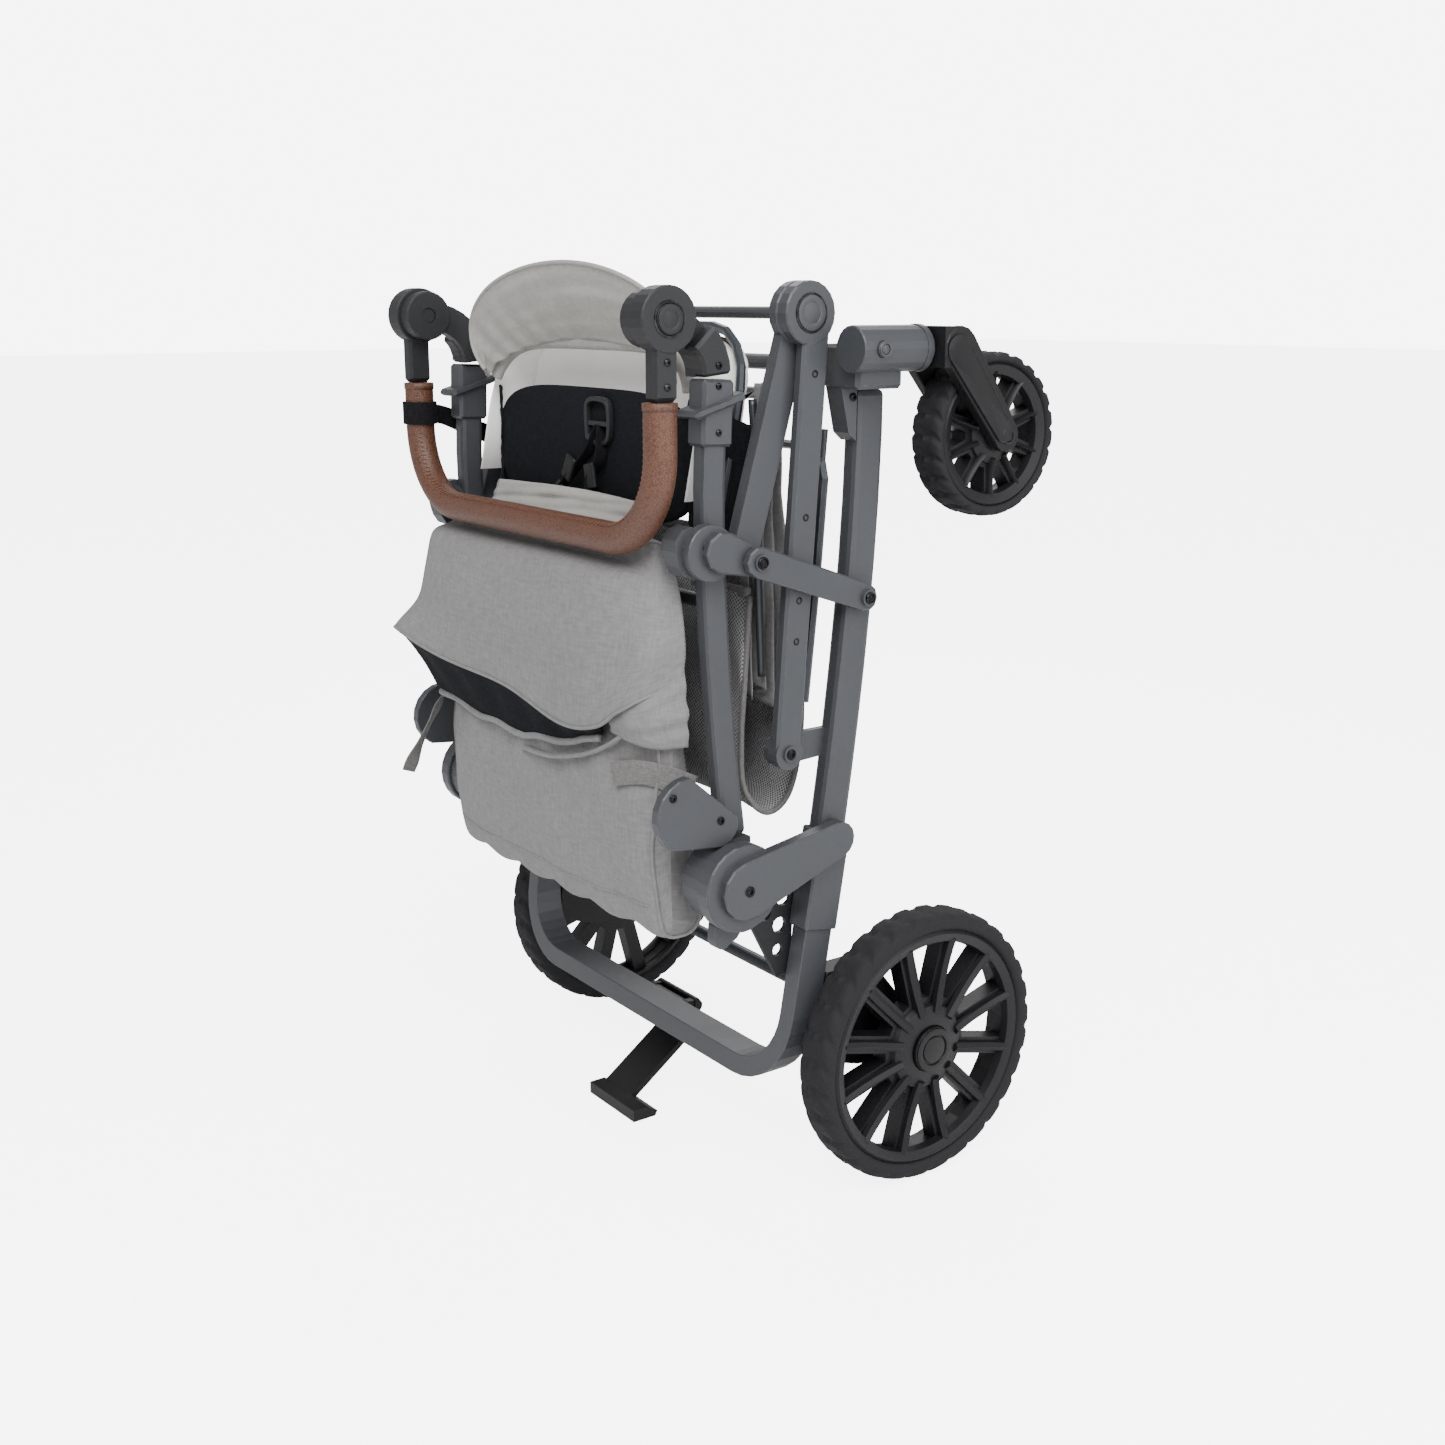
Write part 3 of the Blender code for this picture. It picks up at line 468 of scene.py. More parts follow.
def make_grain() -> bpy.types.NodeTree:
    """Moulding or paint grain: fine noise for height, broad noise for colour.

    Returns:
        The node group.
    """
    tree, w, given, leave = group("fine_grain", {"Vector": None, "Scale": 900.0}, ("Height", "Mottle"))
    fine = w.add("TexNoise", in_Vector=given["Vector"], in_Scale=given["Scale"], in_Detail=2.0)
    leave("Height", fine.outputs[0])
    leave("Mottle", w.add("TexNoise", in_Vector=given["Vector"], in_Scale=14.0, in_Detail=6.0).outputs[0])
    return tree


def make_wear() -> bpy.types.NodeTree:
    """Rubbed edges: where the rounded normal leaves the true one, broken up by noise.

    Returns:
        The node group.
    """
    tree, w, given, leave = group("edge_wear", {"Vector": None, "Radius": 0.0015, "Amount": 0.5}, ("Mask",))
    rounded = w.add("Bevel", samples=4, in_Radius=given["Radius"])
    true = w.add("NewGeometry")
    dot = w.add("VectorMath", operation="DOT_PRODUCT", in_0=rounded.outputs[0], in_1=true.outputs["Normal"])
    bend = w.add("MapRange", in_0=dot.outputs["Value"], in_1=0.995, in_2=0.90, in_3=0.0, in_4=1.0)
    noise = w.add("TexNoise", in_Vector=given["Vector"], in_Scale=120.0, in_Detail=5.0)
    patchy = w.add("MapRange", in_0=noise.outputs[0], in_1=0.40, in_2=0.66)
    rubbed = w.math("MULTIPLY", bend.outputs[0], patchy.outputs[0])
    leave("Mask", w.math("MULTIPLY", rubbed, given["Amount"]))
    return tree


def make_dust() -> bpy.types.NodeTree:
    """Dust: on what faces up, in soft patches.

    Returns:
        The node group.
    """
    tree, w, given, leave = group("settled_dust", {"Vector": None, "Amount": 0.3}, ("Mask",))
    true = w.add("NewGeometry")
    up = w.add("SeparateXYZ", in_0=true.outputs["Normal"]).outputs[2]
    noise = w.add("TexNoise", in_Vector=given["Vector"], in_Scale=35.0, in_Detail=5.0).outputs[0]
    top = w.add("MapRange", in_0=up, in_1=-0.1, in_2=1.0).outputs[0]
    leave("Mask", w.math("MULTIPLY", w.math("MULTIPLY", top, noise), given["Amount"]))
    return tree


GROUPS = {"weave": make_weave(), "grain": make_grain(), "wear": make_wear(), "dust": make_dust()}


def begun(name: str, roughness: float, metallic: float = 0.0) -> tuple:
    """Start a material.

    Args:
        name: Name of the material.
        roughness: Its roughness.
        metallic: Its metallic share.

    Returns:
        The material, its writer, its Principled shader and its Texture Coordinate node.
    """
    material = bpy.data.materials.new(name)
    material.use_nodes = True
    writer = Tree(material.node_tree)
    shader = material.node_tree.nodes["Principled BSDF"]
    shader.inputs["Roughness"].default_value = roughness
    shader.inputs["Metallic"].default_value = metallic
    coordinates = writer.add("TexCoord")
    return material, writer, shader, coordinates


def placed(writer: Tree, name: str, **sockets) -> bpy.types.Node:
    """Put one of the shared groups in a material."""
    return writer.add("Group", node_tree=GROUPS[name], **sockets)


def bumped(writer: Tree, shader: bpy.types.Node, height, strength: float, distance: float) -> None:
    """Feed a height to the shader's normal."""
    bump = writer.add("Bump", in_Strength=strength, in_Distance=distance, in_Height=height)
    writer.set(shader, "Normal", bump.outputs[0])


@dataclass(frozen=True)
class HardFinish:
    """Painted, moulded or bare hard surface."""

    name: str
    colour: Colour
    worn: Colour
    roughness: float = 0.45
    metallic: float = 0.0
    grain: float = 0.25
    grain_scale: float = 1400.0
    wear: float = 0.5
    dust: float = 0.12
    specular: float = 0.3

    def make(self) -> bpy.types.Material:
        """Build the material: mottled colour, rubbed edges, dust and a fine grain.

        Returns:
            The new material.
        """
        material, w, shader, at = begun(self.name, self.roughness, self.metallic)
        shader.inputs["Specular IOR Level"].default_value = self.specular
        place = at.outputs["Object"]
        grain = placed(w, "grain", in_Vector=place, in_Scale=self.grain_scale)
        wear = placed(w, "wear", in_Vector=place, in_Radius=0.0012, in_Amount=self.wear)
        dust = placed(w, "dust", in_Vector=place, in_Amount=self.dust)
        darker = tuple(0.86 * c for c in self.colour)
        lighter = tuple(min(1.12 * c, 1.0) for c in self.colour)
        colour = w.blend(grain.outputs["Mottle"], darker, lighter)
        colour = w.blend(wear.outputs["Mask"], colour, self.worn)
        colour = w.blend(dust.outputs["Mask"], colour, DUST_COLOUR)
        w.set(shader, "Base_Color", colour)
        rough = w.math("MULTIPLY_ADD", grain.outputs["Mottle"], 0.16, self.roughness - 0.08)
        w.set(shader, "Roughness", w.math("ADD", rough, w.math("MULTIPLY", dust.outputs["Mask"], 0.6)))
        bumped(w, shader, grain.outputs["Height"], self.grain, 0.0004)
        return material


@dataclass(frozen=True)
class ClothFinish:
    """Woven cloth on a piece's own UV map, in metres."""

    name: str
    colour: Colour
    fleck: Colour
    threads: float = 700.0
    fleck_scale: float = 330.0
    bump: float = 0.35
    contrast: float = 0.8
    sheen: float = 0.10
    # glow is painted light: an emission that makes the cloth look more brightly lit
    glow: float = 0.0

    def make(self) -> bpy.types.Material:
        """Build the material: heather flecks, a broad mottle, thread bump, a soft sheen and a painted glow,
        an emission that brightens the cloth though it is no lamp.

        Returns:
            The new material.
        """
        material, w, shader, at = begun(self.name, 0.92)
        place = at.outputs["UV"]
        weave = placed(w, "weave", in_Vector=place, in_Threads=self.threads, in_Fleck=self.fleck_scale)
        amount = w.math("MULTIPLY", weave.outputs["Flecks"], self.contrast)
        colour = w.blend(amount, self.colour, self.fleck)
        shade = w.math("MULTIPLY_ADD", weave.outputs["Mottle"], 0.20, 0.88)
        scaled = w.add("VectorMath", operation="SCALE", in_0=colour, in_Scale=shade)
        w.set(shader, "Base_Color", scaled.outputs[0])
        shader.inputs["Sheen Weight"].default_value = self.sheen
        shader.inputs["Sheen Roughness"].default_value = 0.5
        shader.inputs["Specular IOR Level"].default_value = 0.12
        # Painted light: the emission brightens the cloth as if more light reached it; it is no lamp.
        shader.inputs["Emission Color"].default_value = (1.0, 0.98, 0.95, 1)
        shader.inputs["Emission Strength"].default_value = self.glow
        height = w.math("ADD", weave.outputs["Height"], w.math("MULTIPLY", weave.outputs["Flecks"], 0.8))
        bumped(w, shader, height, self.bump, 0.0006)
        return material


@dataclass(frozen=True)
class NetFinish:
    """Knitted mesh: a grid of dark holes in light yarn, on the UV map."""

    name: str
    colour: Colour
    hole: Colour
    pitch: float = 0.0042

    def make(self) -> bpy.types.Material:
        """Build the material from two crossed waves that leave round holes.

        Returns:
            The new material.
        """
        material, w, shader, at = begun(self.name, 0.85)
        parts = w.add("SeparateXYZ", in_0=at.outputs["UV"])
        waves = [w.math("SINE", w.math("MULTIPLY", parts.outputs[i], TAU / self.pitch)) for i in (0, 1)]
        both = w.math("MULTIPLY", waves[0], waves[1])
        hole = w.add("MapRange", in_0=both, in_1=0.05, in_2=0.42)
        grain = placed(w, "grain", in_Vector=at.outputs["Object"], in_Scale=700.0)
        yarn = w.blend(grain.outputs["Mottle"], tuple(0.85 * c for c in self.colour), self.colour)
        w.set(shader, "Base_Color", w.blend(hole.outputs[0], yarn, self.hole))
        bumped(w, shader, w.math("SUBTRACT", 1.0, hole.outputs[0]), 0.6, 0.0008)
        return material


@dataclass(frozen=True)
class LeatherFinish:
    """Tanned leather with pebbled grain and darker creases."""

    name: str
    colour: Colour
    crease: Colour

    def make(self) -> bpy.types.Material:
        """Build the material: cells for the pebbles, noise for the tan.

        Returns:
            The new material.
        """
        material, w, shader, at = begun(self.name, 0.5)
        place = at.outputs["Object"]
        cells = w.add("TexVoronoi", feature="DISTANCE_TO_EDGE", in_Vector=place, in_Scale=420.0)
        pebble = w.add("MapRange", in_0=cells.outputs[0], in_1=0.0, in_2=0.22)
        grain = placed(w, "grain", in_Vector=place, in_Scale=1500.0)
        wear = placed(w, "wear", in_Vector=place, in_Radius=0.003, in_Amount=0.35)
        darker, lighter, rubbed = (tuple(share * c for c in self.colour) for share in (0.74, 1.2, 1.5))
        tan = w.blend(grain.outputs["Mottle"], darker, lighter)
        tan = w.blend(pebble.outputs[0], self.crease, tan)
        w.set(shader, "Base_Color", w.blend(wear.outputs["Mask"], tan, rubbed))
        w.set(shader, "Roughness", w.math("MULTIPLY_ADD", grain.outputs["Mottle"], 0.2, 0.38))
        height = w.math("ADD", pebble.outputs[0], w.math("MULTIPLY", grain.outputs["Height"], 0.3))
        bumped(w, shader, height, 0.35, 0.0005)
        return material


FINISHES = {
    "frame": HardFinish("satin_paint", (0.047, 0.0500, 0.056), (0.20, 0.21, 0.22), 0.44, metallic=0.20,
                        grain=0.12, grain_scale=2200.0, wear=0.3, dust=0.02, specular=0.4),
    "charcoal": HardFinish("charcoal_moulding", (0.015, 0.0155, 0.0175), (0.08, 0.08, 0.09), 0.50,
                           grain=0.3, dust=0.02),
    "black": HardFinish("black_moulding", (0.0045, 0.0045, 0.0055), (0.03, 0.03, 0.03), 0.46,
                        grain=0.35, dust=0.01),
    "wheel": HardFinish("wheel_moulding", (0.0050, 0.0050, 0.0065), (0.03, 0.03, 0.03), 0.46,
                        grain=0.3, dust=0.01),
    "tyre": HardFinish("tread_rubber", (0.0135, 0.0135, 0.0155), (0.035, 0.035, 0.035), 0.78,
                       grain=0.5, dust=0.03, specular=0.2),
    "steel": HardFinish("dark_steel", (0.055, 0.060, 0.068), (0.25, 0.25, 0.26), 0.38, metallic=0.7,
                        grain=0.08, dust=0.02),
    "screw": HardFinish("blackened_screw", (0.012, 0.012, 0.014), (0.20, 0.20, 0.20), 0.30, metallic=0.8,
                        grain=0.05, dust=0.0),
    "leather": LeatherFinish("tan_leather", (0.126, 0.047, 0.024), (0.042, 0.015, 0.007)),
    "heather": ClothFinish("heather_cloth", (0.208, 0.203, 0.203), (0.120, 0.117, 0.118), 620.0, 300.0,
                           bump=0.28, contrast=0.55),
    "lining": ClothFinish("dark_lining", (0.0055, 0.0058, 0.0075), (0.012, 0.013, 0.016), 800.0, 500.0,
                          bump=0.2, sheen=0.0),
    "canopy": ClothFinish("canopy_cloth", (0.340, 0.329, 0.308), (0.255, 0.247, 0.232), 800.0, 420.0,
                          bump=0.22, contrast=0.6),
    # The cream panel's glow is painted light that brightens the shaded inside of the hood.
    "cream": ClothFinish("cream_panel", (0.86, 0.855, 0.835), (0.76, 0.755, 0.735), 900.0, 500.0,
                         bump=0.15, contrast=0.5, glow=0.16),
    "webbing": ClothFinish("black_webbing", (0.0045, 0.0045, 0.006), (0.012, 0.012, 0.014), 420.0, 600.0,
                           bump=0.6, sheen=0.0),
    "grey_webbing": ClothFinish("grey_webbing", (0.17, 0.165, 0.162), (0.10, 0.098, 0.096), 420.0, 600.0,
                                bump=0.6),
    "zip": ClothFinish("brown_zip", (0.060, 0.034, 0.022), (0.030, 0.016, 0.010), 300.0, 500.0, bump=0.6),
    "thread": ClothFinish("stitching", (0.20, 0.095, 0.060), (0.13, 0.06, 0.04), 900.0, 900.0, bump=0.5),
    "mesh": NetFinish("knitted_net", (0.30, 0.30, 0.305), (0.035, 0.035, 0.04)),
}
MATERIALS = {key: finish.make() for key, finish in FINISHES.items()}
PIECES: list = []


def dress(obj: bpy.types.Object, finish: str, body: str, *stands_for: str) -> bpy.types.Object:
    """Finish a piece.

    Args:
        obj: The piece.
        finish: Its finish, a key of FINISHES.
        body: The body that it rides on.
        *stands_for: CAD nodes that it replaces.

    Returns:
        The same object.
    """
    obj.data.materials.clear()
    obj.data.materials.append(MATERIALS[finish])
    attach(obj, body)
    if stands_for:
        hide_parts(*stands_for)
    PIECES.append(obj.name)
    return obj


def sheet(name: str, points: Array, wall: float, finish: str, body: str, held: str, rests_on: str,
          *stands_for: str) -> bpy.types.Object:
    """Make a sheet of cloth from its grid, finish it and work out its cut, which is not kept.

    Args:
        name: Name of the object.
        points: Array (u, v, 3).
        wall: Thickness in metres.
        finish: Its finish, a key of FINISHES.
        body: The body that it rides on.
        held: How it is held; not used.
        rests_on: What it hangs from or lies on; not used.
        *stands_for: CAD nodes that it replaces.

    Returns:
        The new object.
    """
    obj = dress(thicken(grid(name, points), wall), finish, body, *stands_for)
    cloth(points)
    return obj


# ---- storage bag -----------------------------------------------------------------------------
@dataclass
class Bag:
    """Heather storage bag with its awning flap, dark throat, seams and tabs."""

    half: float = HALF_BAG
    body: str = "handle_frame"
    middle: tuple = (-0.2560, 0.4700)
    wall: float = 0.0022
    lining: float = 0.0012
    welt_height: float = 0.3300

    def outline(self, count: int) -> Array:
        """Side outline of the bag, from its top back round the front to its foot and up.

        Args:
            count: Points on the line, of which the last, which repeats the first, is left out.

        Returns:
            Array (count - 1, 2) of Y and Z.
        """
        knots = [(-0.2380, 0.6920), (-0.2520, 0.6960), (-0.2600, 0.6600), (-0.2700, 0.6060),
                 (-0.2800, 0.5350), (-0.2900, 0.4760), (-0.2940, 0.4200), (-0.2890, 0.3550),
                 (-0.2700, 0.3020), (-0.2320, 0.2920), (-0.1980, 0.3020), (-0.1900, 0.3400),
                 (-0.1960, 0.3900), (-0.2150, 0.4400), (-0.2330, 0.5350), (-0.2370, 0.6300),
                 (-0.2380, 0.6920)]
        return flow(knots, count)[:-1]

    def shell(self) -> bpy.types.Object:
        """Closed shell: the outline carried across X, drawn in at both ends, and creased.

        Returns:
            The new object.
        """
        v = span(61, -1, 1)
        obj = grid("bag_shell", self.shell_points(self.outline(121), v), wrap_u=True)
        return dress(obj, "heather", self.body, "storage_bag")

    def shell_points(self, line: Array, v: Array, proud: float = 0.0) -> Array:
        """Points of the shell for outline points (Y, Z) and places across v, from -1 to 1.

        Args:
            line: Array (n, 2) of the side outline.
            v: Array (m) of places across.
            proud: How far outside the shell, in metres.

        Returns:
            Array (n, m, 3).
        """
        draw = (1 - np.abs(v) ** 10) ** 0.34
        middle = np.array(self.middle)
        section = line[:, None] - middle
        length = np.linalg.norm(section, axis=-1, keepdims=True)
        section = section * (1 + proud / np.maximum(length, 0.01))
        y = middle[0] + section[..., 0] * draw * (1 - 0.05 * v ** 4)
        z = middle[1] + section[..., 1] * (0.92 + 0.08 * draw)
        front = np.clip((-0.262 - y) / 0.02, 0, 1)
        crease = ripple(z * 3.0, np.broadcast_to(v * 0.5, z.shape), 4)
        folds = np.sin(26 * v + 22 * z) * np.clip((z - 0.36) / 0.12, 0, 1) + np.sin(9 * v + 16 * z)
        y = y - front * (0.0022 * np.abs(crease) + 0.0018 * folds)
        y = y + 0.010 * front * np.clip(v, 0, 1) ** 2
        z = z + 0.0035 * np.sin(17 * v + 2) * np.clip((0.34 - z) / 0.05, 0, 1)
        x = self.half * np.broadcast_to(v, y.shape) + 0.0020 * np.sin(30 * z) * np.abs(v) ** 8 * np.sign(v)
        return spot(x, y, z)

    def flap_points(self, across: int, along: int, drop: float = 0.0) -> Array:
        """Flap as a bicubic patch through five rows of points, from its seam to its lip.

        Args:
            across: Points from the left edge to the right wrap.
            along: Points from the seam to the lip.
            drop: How far behind the face, in metres.

        Returns:
            Array (across, along, 3).
        """
        x = np.array([[-0.2060, -0.1000, 0.0000, 0.1000, 0.1600, 0.1850, 0.1990, 0.2030],
                      [-0.2060, -0.1000, 0.0000, 0.1000, 0.1600, 0.1900, 0.2070, 0.2110],
                      [-0.2060, -0.1000, 0.0000, 0.1000, 0.1610, 0.1940, 0.2130, 0.2190],
                      [-0.2060, -0.1000, 0.0000, 0.1000, 0.1640, 0.1980, 0.2180, 0.2265],
                      [-0.2070, -0.1000, 0.0000, 0.1000, 0.1540, 0.1850, 0.2060, 0.2230]])
        y = np.array([[-0.2625] * 7 + [-0.2520],
                      [-0.2720] * 6 + [-0.2680, -0.2500],
                      [-0.3000, -0.3000, -0.3000, -0.2990, -0.2960, -0.2880, -0.2720, -0.2490],
                      [-0.3157, -0.3180, -0.3160, -0.3130, -0.3080, -0.2980, -0.2810, -0.2490],
                      [-0.3440, -0.3270, -0.3160, -0.3120, -0.3080, -0.3020, -0.2880, -0.2500]])
        z = np.array([[0.6970] * 7 + [0.6900],
                      [0.6775] * 6 + [0.6760, 0.6740],
                      [0.6640, 0.6620, 0.6620, 0.6620, 0.6600, 0.6560, 0.6500, 0.6460],
                      [0.6020, 0.5980, 0.5950, 0.5910, 0.5900, 0.5920, 0.5960, 0.6020],
                      [0.5660, 0.5380, 0.5230, 0.5090, 0.5130, 0.5330, 0.5480, 0.5620]])
        cut = patch(np.stack([x, y, z], -1), across, along)
        u, v = np.meshgrid(span(across), span(along), indexing="ij")
        folds = (0.0030 * np.sin(17 * u + 4 * v) + 0.0024 * ripple(u * 1.4, v * 0.8, 9)) * v
        folds = folds + 0.0016 * np.sin(60 * u) * np.exp(-((v - 0.10) / 0.10) ** 2) * 0.6
        return spot(cut[..., 0], cut[..., 1] + folds * (1 - 0.6 * u) + drop, cut[..., 2] + 0.4 * folds)

    def flap(self) -> None:
        """The flap, its hem, its dark lining and the throat behind its lip."""
        face, back = self.flap_points(85, 49), self.flap_points(85, 49, 0.0030)[1:66, 2:-1]
        sheet("flap_cover", face, self.wall, "heather", self.body, "draped", "bag_shell", "bag_flap")
        sheet("flap_lining", back, self.lining, "lining", self.body, "draped", "flap_cover")
        edge = self.flap_points(120, 25)[:, -1]
        dress(sweep("flap_hem", edge, ring(0.0021, 8), (0, 0, 1)), "heather", self.body)
        lip = edge[edge[:, 0] < 0.150] + [0.0, 0.0022, 0.0]
        root = self.throat_root(lip[:, 0])
        t = span(17)[None, :, None]
        throat = lip[:, None] * (1 - t) + root[:, None] * t
        u, belly = span(len(lip))[:, None], np.sin(np.pi * t[..., 0])
        throat[..., 1] += 0.004 * belly + 0.0016 * np.sin(40 * u) * belly
        sheet("flap_throat", throat, self.lining, "lining", self.body, "hung", "flap_cover")

    def throat_root(self, x: Array) -> Array:
        """Where the dark throat is sewn to the bag.

        Args:
            x: Places along the lip.

        Returns:
            Array (n, 3) of points.
        """
        y = np.interp(x, [-0.20, -0.03, 0.13], [-0.2990, -0.2985, -0.2970])
        z = np.interp(x, [-0.20, -0.10, 0.00, 0.10, 0.15], [0.4880, 0.4770, 0.4740, 0.4880, 0.5040])
        return spot(0.99 * x, y, z)

    def seams(self) -> None:
        """Piping down both sides, a roll and a fold below the throat, and the lower panel's seam."""
        line = self.outline(121)
        for side in Side:
            path = self.shell_points(line[10:84], np.array([side.value * 0.972]), 0.0006)[:, 0]
            dress(sweep("bag_piping_" + side.word, path, ring(0.0019, 8), (1, 0, 0)), "heather", self.body)
        x = span(81, -0.200, 0.146)
        roll = self.throat_root(x) + [0.0, 0.0008, -0.0030]
        roll[:, 2] += 0.0016 * np.sin(70 * x)
        dress(sweep("bag_roll", roll, ring(0.0040, 10), (0, 0, 1)), "heather", self.body)
        crease = flow([(0.176, -0.2905, 0.5060), (0.150, -0.2950, 0.4900), (0.110, -0.2975, 0.4740),
                       (0.050, -0.2990, 0.4600), (-0.010, -0.2970, 0.4560)], 50)
        dress(sweep("bag_fold", spot(*crease.T), ring(0.0036, 10, 0.7), (0, 0, 1)), "heather", self.body)
        v = span(81, -0.93, 0.93)
        y = np.interp(self.welt_height, line[20:80, 1][::-1], line[20:80, 0][::-1])
        welt = self.shell_points(np.array([[y, self.welt_height]]), v, 0.0004)[0]
        dress(sweep("bag_welt", welt, ring(0.0012, 8), (0, 0, 1)), "heather", self.body)

    def tabs(self) -> None:
        """Webbing tail on the left, webbing tab and gathered gusset on the right."""
        left = flow([(-0.2000, -0.2800, 0.4970), (-0.2130, -0.2860, 0.4800), (-0.2180, -0.3010, 0.4500),
                     (-0.2230, -0.3200, 0.4130), (-0.2250, -0.3320, 0.3870)], 36)
        tail = sweep("tail_left", spot(*left.T), slab(0.0018, 0.022, 0.25), (0, 0.55, 0.83))
        dress(tail, "grey_webbing", self.body)
        right = flow([(0.1620, -0.2920, 0.4640), (0.1820, -0.2880, 0.4700), (0.2020, -0.2780, 0.4720),
                      (0.2165, -0.2560, 0.4640), (0.2200, -0.2360, 0.4540)], 36)
        tab = sweep("tab_right", spot(*right.T), slab(0.0018, 0.025, 0.25), (0, 0, 1))
        dress(tab, "grey_webbing", self.body)
        x = np.array([[0.1650, 0.1920, 0.2120, 0.2240], [0.1640, 0.1960, 0.2170, 0.2265],
                      [0.1620, 0.1960, 0.2160, 0.2240]])
        y = np.array([[-0.2920, -0.2880, -0.2700, -0.2480], [-0.2960, -0.2950, -0.2780, -0.2460],
                      [-0.2930, -0.2880, -0.2720, -0.2440]])
        z = np.array([[0.5450, 0.5570, 0.5680, 0.5760], [0.5220, 0.5260, 0.5300, 0.5320],
                      [0.5080, 0.5020, 0.4980, 0.4980]])
        cut = patch(np.stack([x, y, z], -1), 41, 21).transpose(1, 0, 2)
        v, u = np.meshgrid(span(21), span(41), indexing="ij")
        cut[..., 0] += 0.0022 * np.sin(19 * v + 5 * u) * np.sin(np.pi * v)
        cut = spot(*cut.transpose(2, 0, 1))
        sheet("gusset_fold", cut, self.wall, "heather", self.body, "gathered", "bag_shell")

    def build(self) -> None:
        """Make the whole bag."""
        self.shell()
        self.flap()
        self.seams()
        self.tabs()


# ---- canopy ----------------------------------------------------------------------------------
@dataclass
class Canopy:
    """Hood, gathered visor, cream sides and brown zip piping, all on the canopy's own body."""

    body: str = "canopy"
    half: float = 0.2060
    top: float = 0.8890
    foot: float = 0.7350
    bow_half: float = 0.2030
    bow_top: float = 0.8830

    def arch(self, t: Array, half: Array | float, top: Array | float, power: float = 0.27) -> tuple:
        """Rounded arch: x = half sign(c) |c|^power, z = foot + (top - foot) s^power, c and s of pi t.

        Args:
            t: Places along the arch, 0 to 1.
            half: Half its width.
            top: Its height.
            power: How round its corners are.

        Returns:
            Its X and Z.
        """
        x = half * signed(np.cos(np.pi * t), power)
        z = self.foot + (top - self.foot) * np.maximum(np.sin(np.pi * t), 0.0) ** power
        return x, z

    def lean(self, z: Array) -> Array:
        """How far the hood leans forward at a height."""
        return 0.20 * (z - 0.870)

    def hood(self) -> None:
        """Cream cover from the bow forwards, dipping between its ribs, and its front wall."""
        t, d = np.meshgrid(span(81), span(25), indexing="ij")
        half = self.half - 0.003 * np.sin(np.pi * d)
        top = self.top - 0.004 * np.sin(np.pi * d)
        x, z = self.arch(t, half, top)
        y = -0.2055 + 0.0515 * d + self.lean(z) + 0.0012 * ripple(t * 2, d, 3)
        # Both hood sheets take the cream finish, whose glow is painted light that brightens the shaded
        # hood.
        sheet("hood_cover", spot(x, y, z), 0.0018, "cream", self.body, "stretched", "canopy_bow",
              "canopy_hood")
        t, r = np.meshgrid(span(81), span(21), indexing="ij")
        x, z = self.arch(t, self.half - 0.001, self.top - 0.001)
        x, z = x * r, self.foot + (z - self.foot) * r
        y = -0.1545 + self.lean(z) - 0.006 * (1 - r) + 0.0016 * ripple(x * 4, z * 4, 5)
        sheet("hood_front", spot(x, y, z), 0.0016, "cream", self.body, "stretched", "hood_cover")

    def visor(self) -> None:
        """Half-round visor gathered onto the bow: radial pleats that fade outwards."""
        u, v = np.meshgrid(span(121), span(25), indexing="ij")
        angle = np.pi * (0.02 + 0.96 * u)
        c, s = np.cos(angle), np.sin(angle)
        low = np.stack([0.187 * c, -0.2325 + 0.018 * s, 0.836 + 0.047 * s], -1)
        sweep_back = np.pi * (1.34 * u - 0.17)
        c, s = np.cos(sweep_back), np.sin(sweep_back)
        high = np.stack([0.201 * c, -0.2420 - 0.006 * np.maximum(s, 0), 0.886 + 0.074 * s], -1)
        mixed = low + (high - low) * v[..., None]
        pleat = 0.0016 * np.sin(62 * u + 3 * np.sin(9 * u)) * (1 - v) ** 0.7 + 0.0010 * ripple(u, v, 8)
        bulge = 0.006 * np.sin(np.pi * v) * np.maximum(s, 0)
        points = spot(mixed[..., 0], mixed[..., 1] - pleat - bulge, mixed[..., 2] + 0.5 * pleat)
        sheet("visor_cloth", points, 0.0020, "canopy", self.body, "gathered", "canopy_bow", "canopy_visor")
        dress(sweep("visor_rim", points[:, -1], ring(0.0024, 8), (0, 1, 0)), "canopy", self.body)

    def sleeve(self) -> None:
        """Sleeve of cloth round the upper part of the bow."""
        t = span(161, 0.15, 0.85)
        x, z = self.arch(t, self.bow_half, self.bow_top, 0.42)
        y = -0.2090 + self.lean(z)
        profile = ring(0.0085, 12, 0.7)
        obj = sweep("bow_sleeve", spot(x * 0.985, y - 0.003, z - 0.002), profile, (0, 1, 0))
        dress(obj, "canopy", self.body)

    def piping(self) -> None:
        """Brown zip that edges the hood's front, in two rows."""
        t = span(161)
        for number, offset in enumerate((0.0, 0.0060)):
            x, z = self.arch(t, self.half + 0.0008, self.top + 0.0008)
            y = -0.1640 + offset + self.lean(z)
            obj = sweep(f"hood_zip_{number}", spot(x, y, z), slab(0.0014, 0.0030, 0.5), (0, 1, 0))
            dress(obj, "zip", self.body)

    def build(self) -> None:
        """Make the whole canopy."""
        self.hood()
        self.visor()
        self.sleeve()
        self.piping()


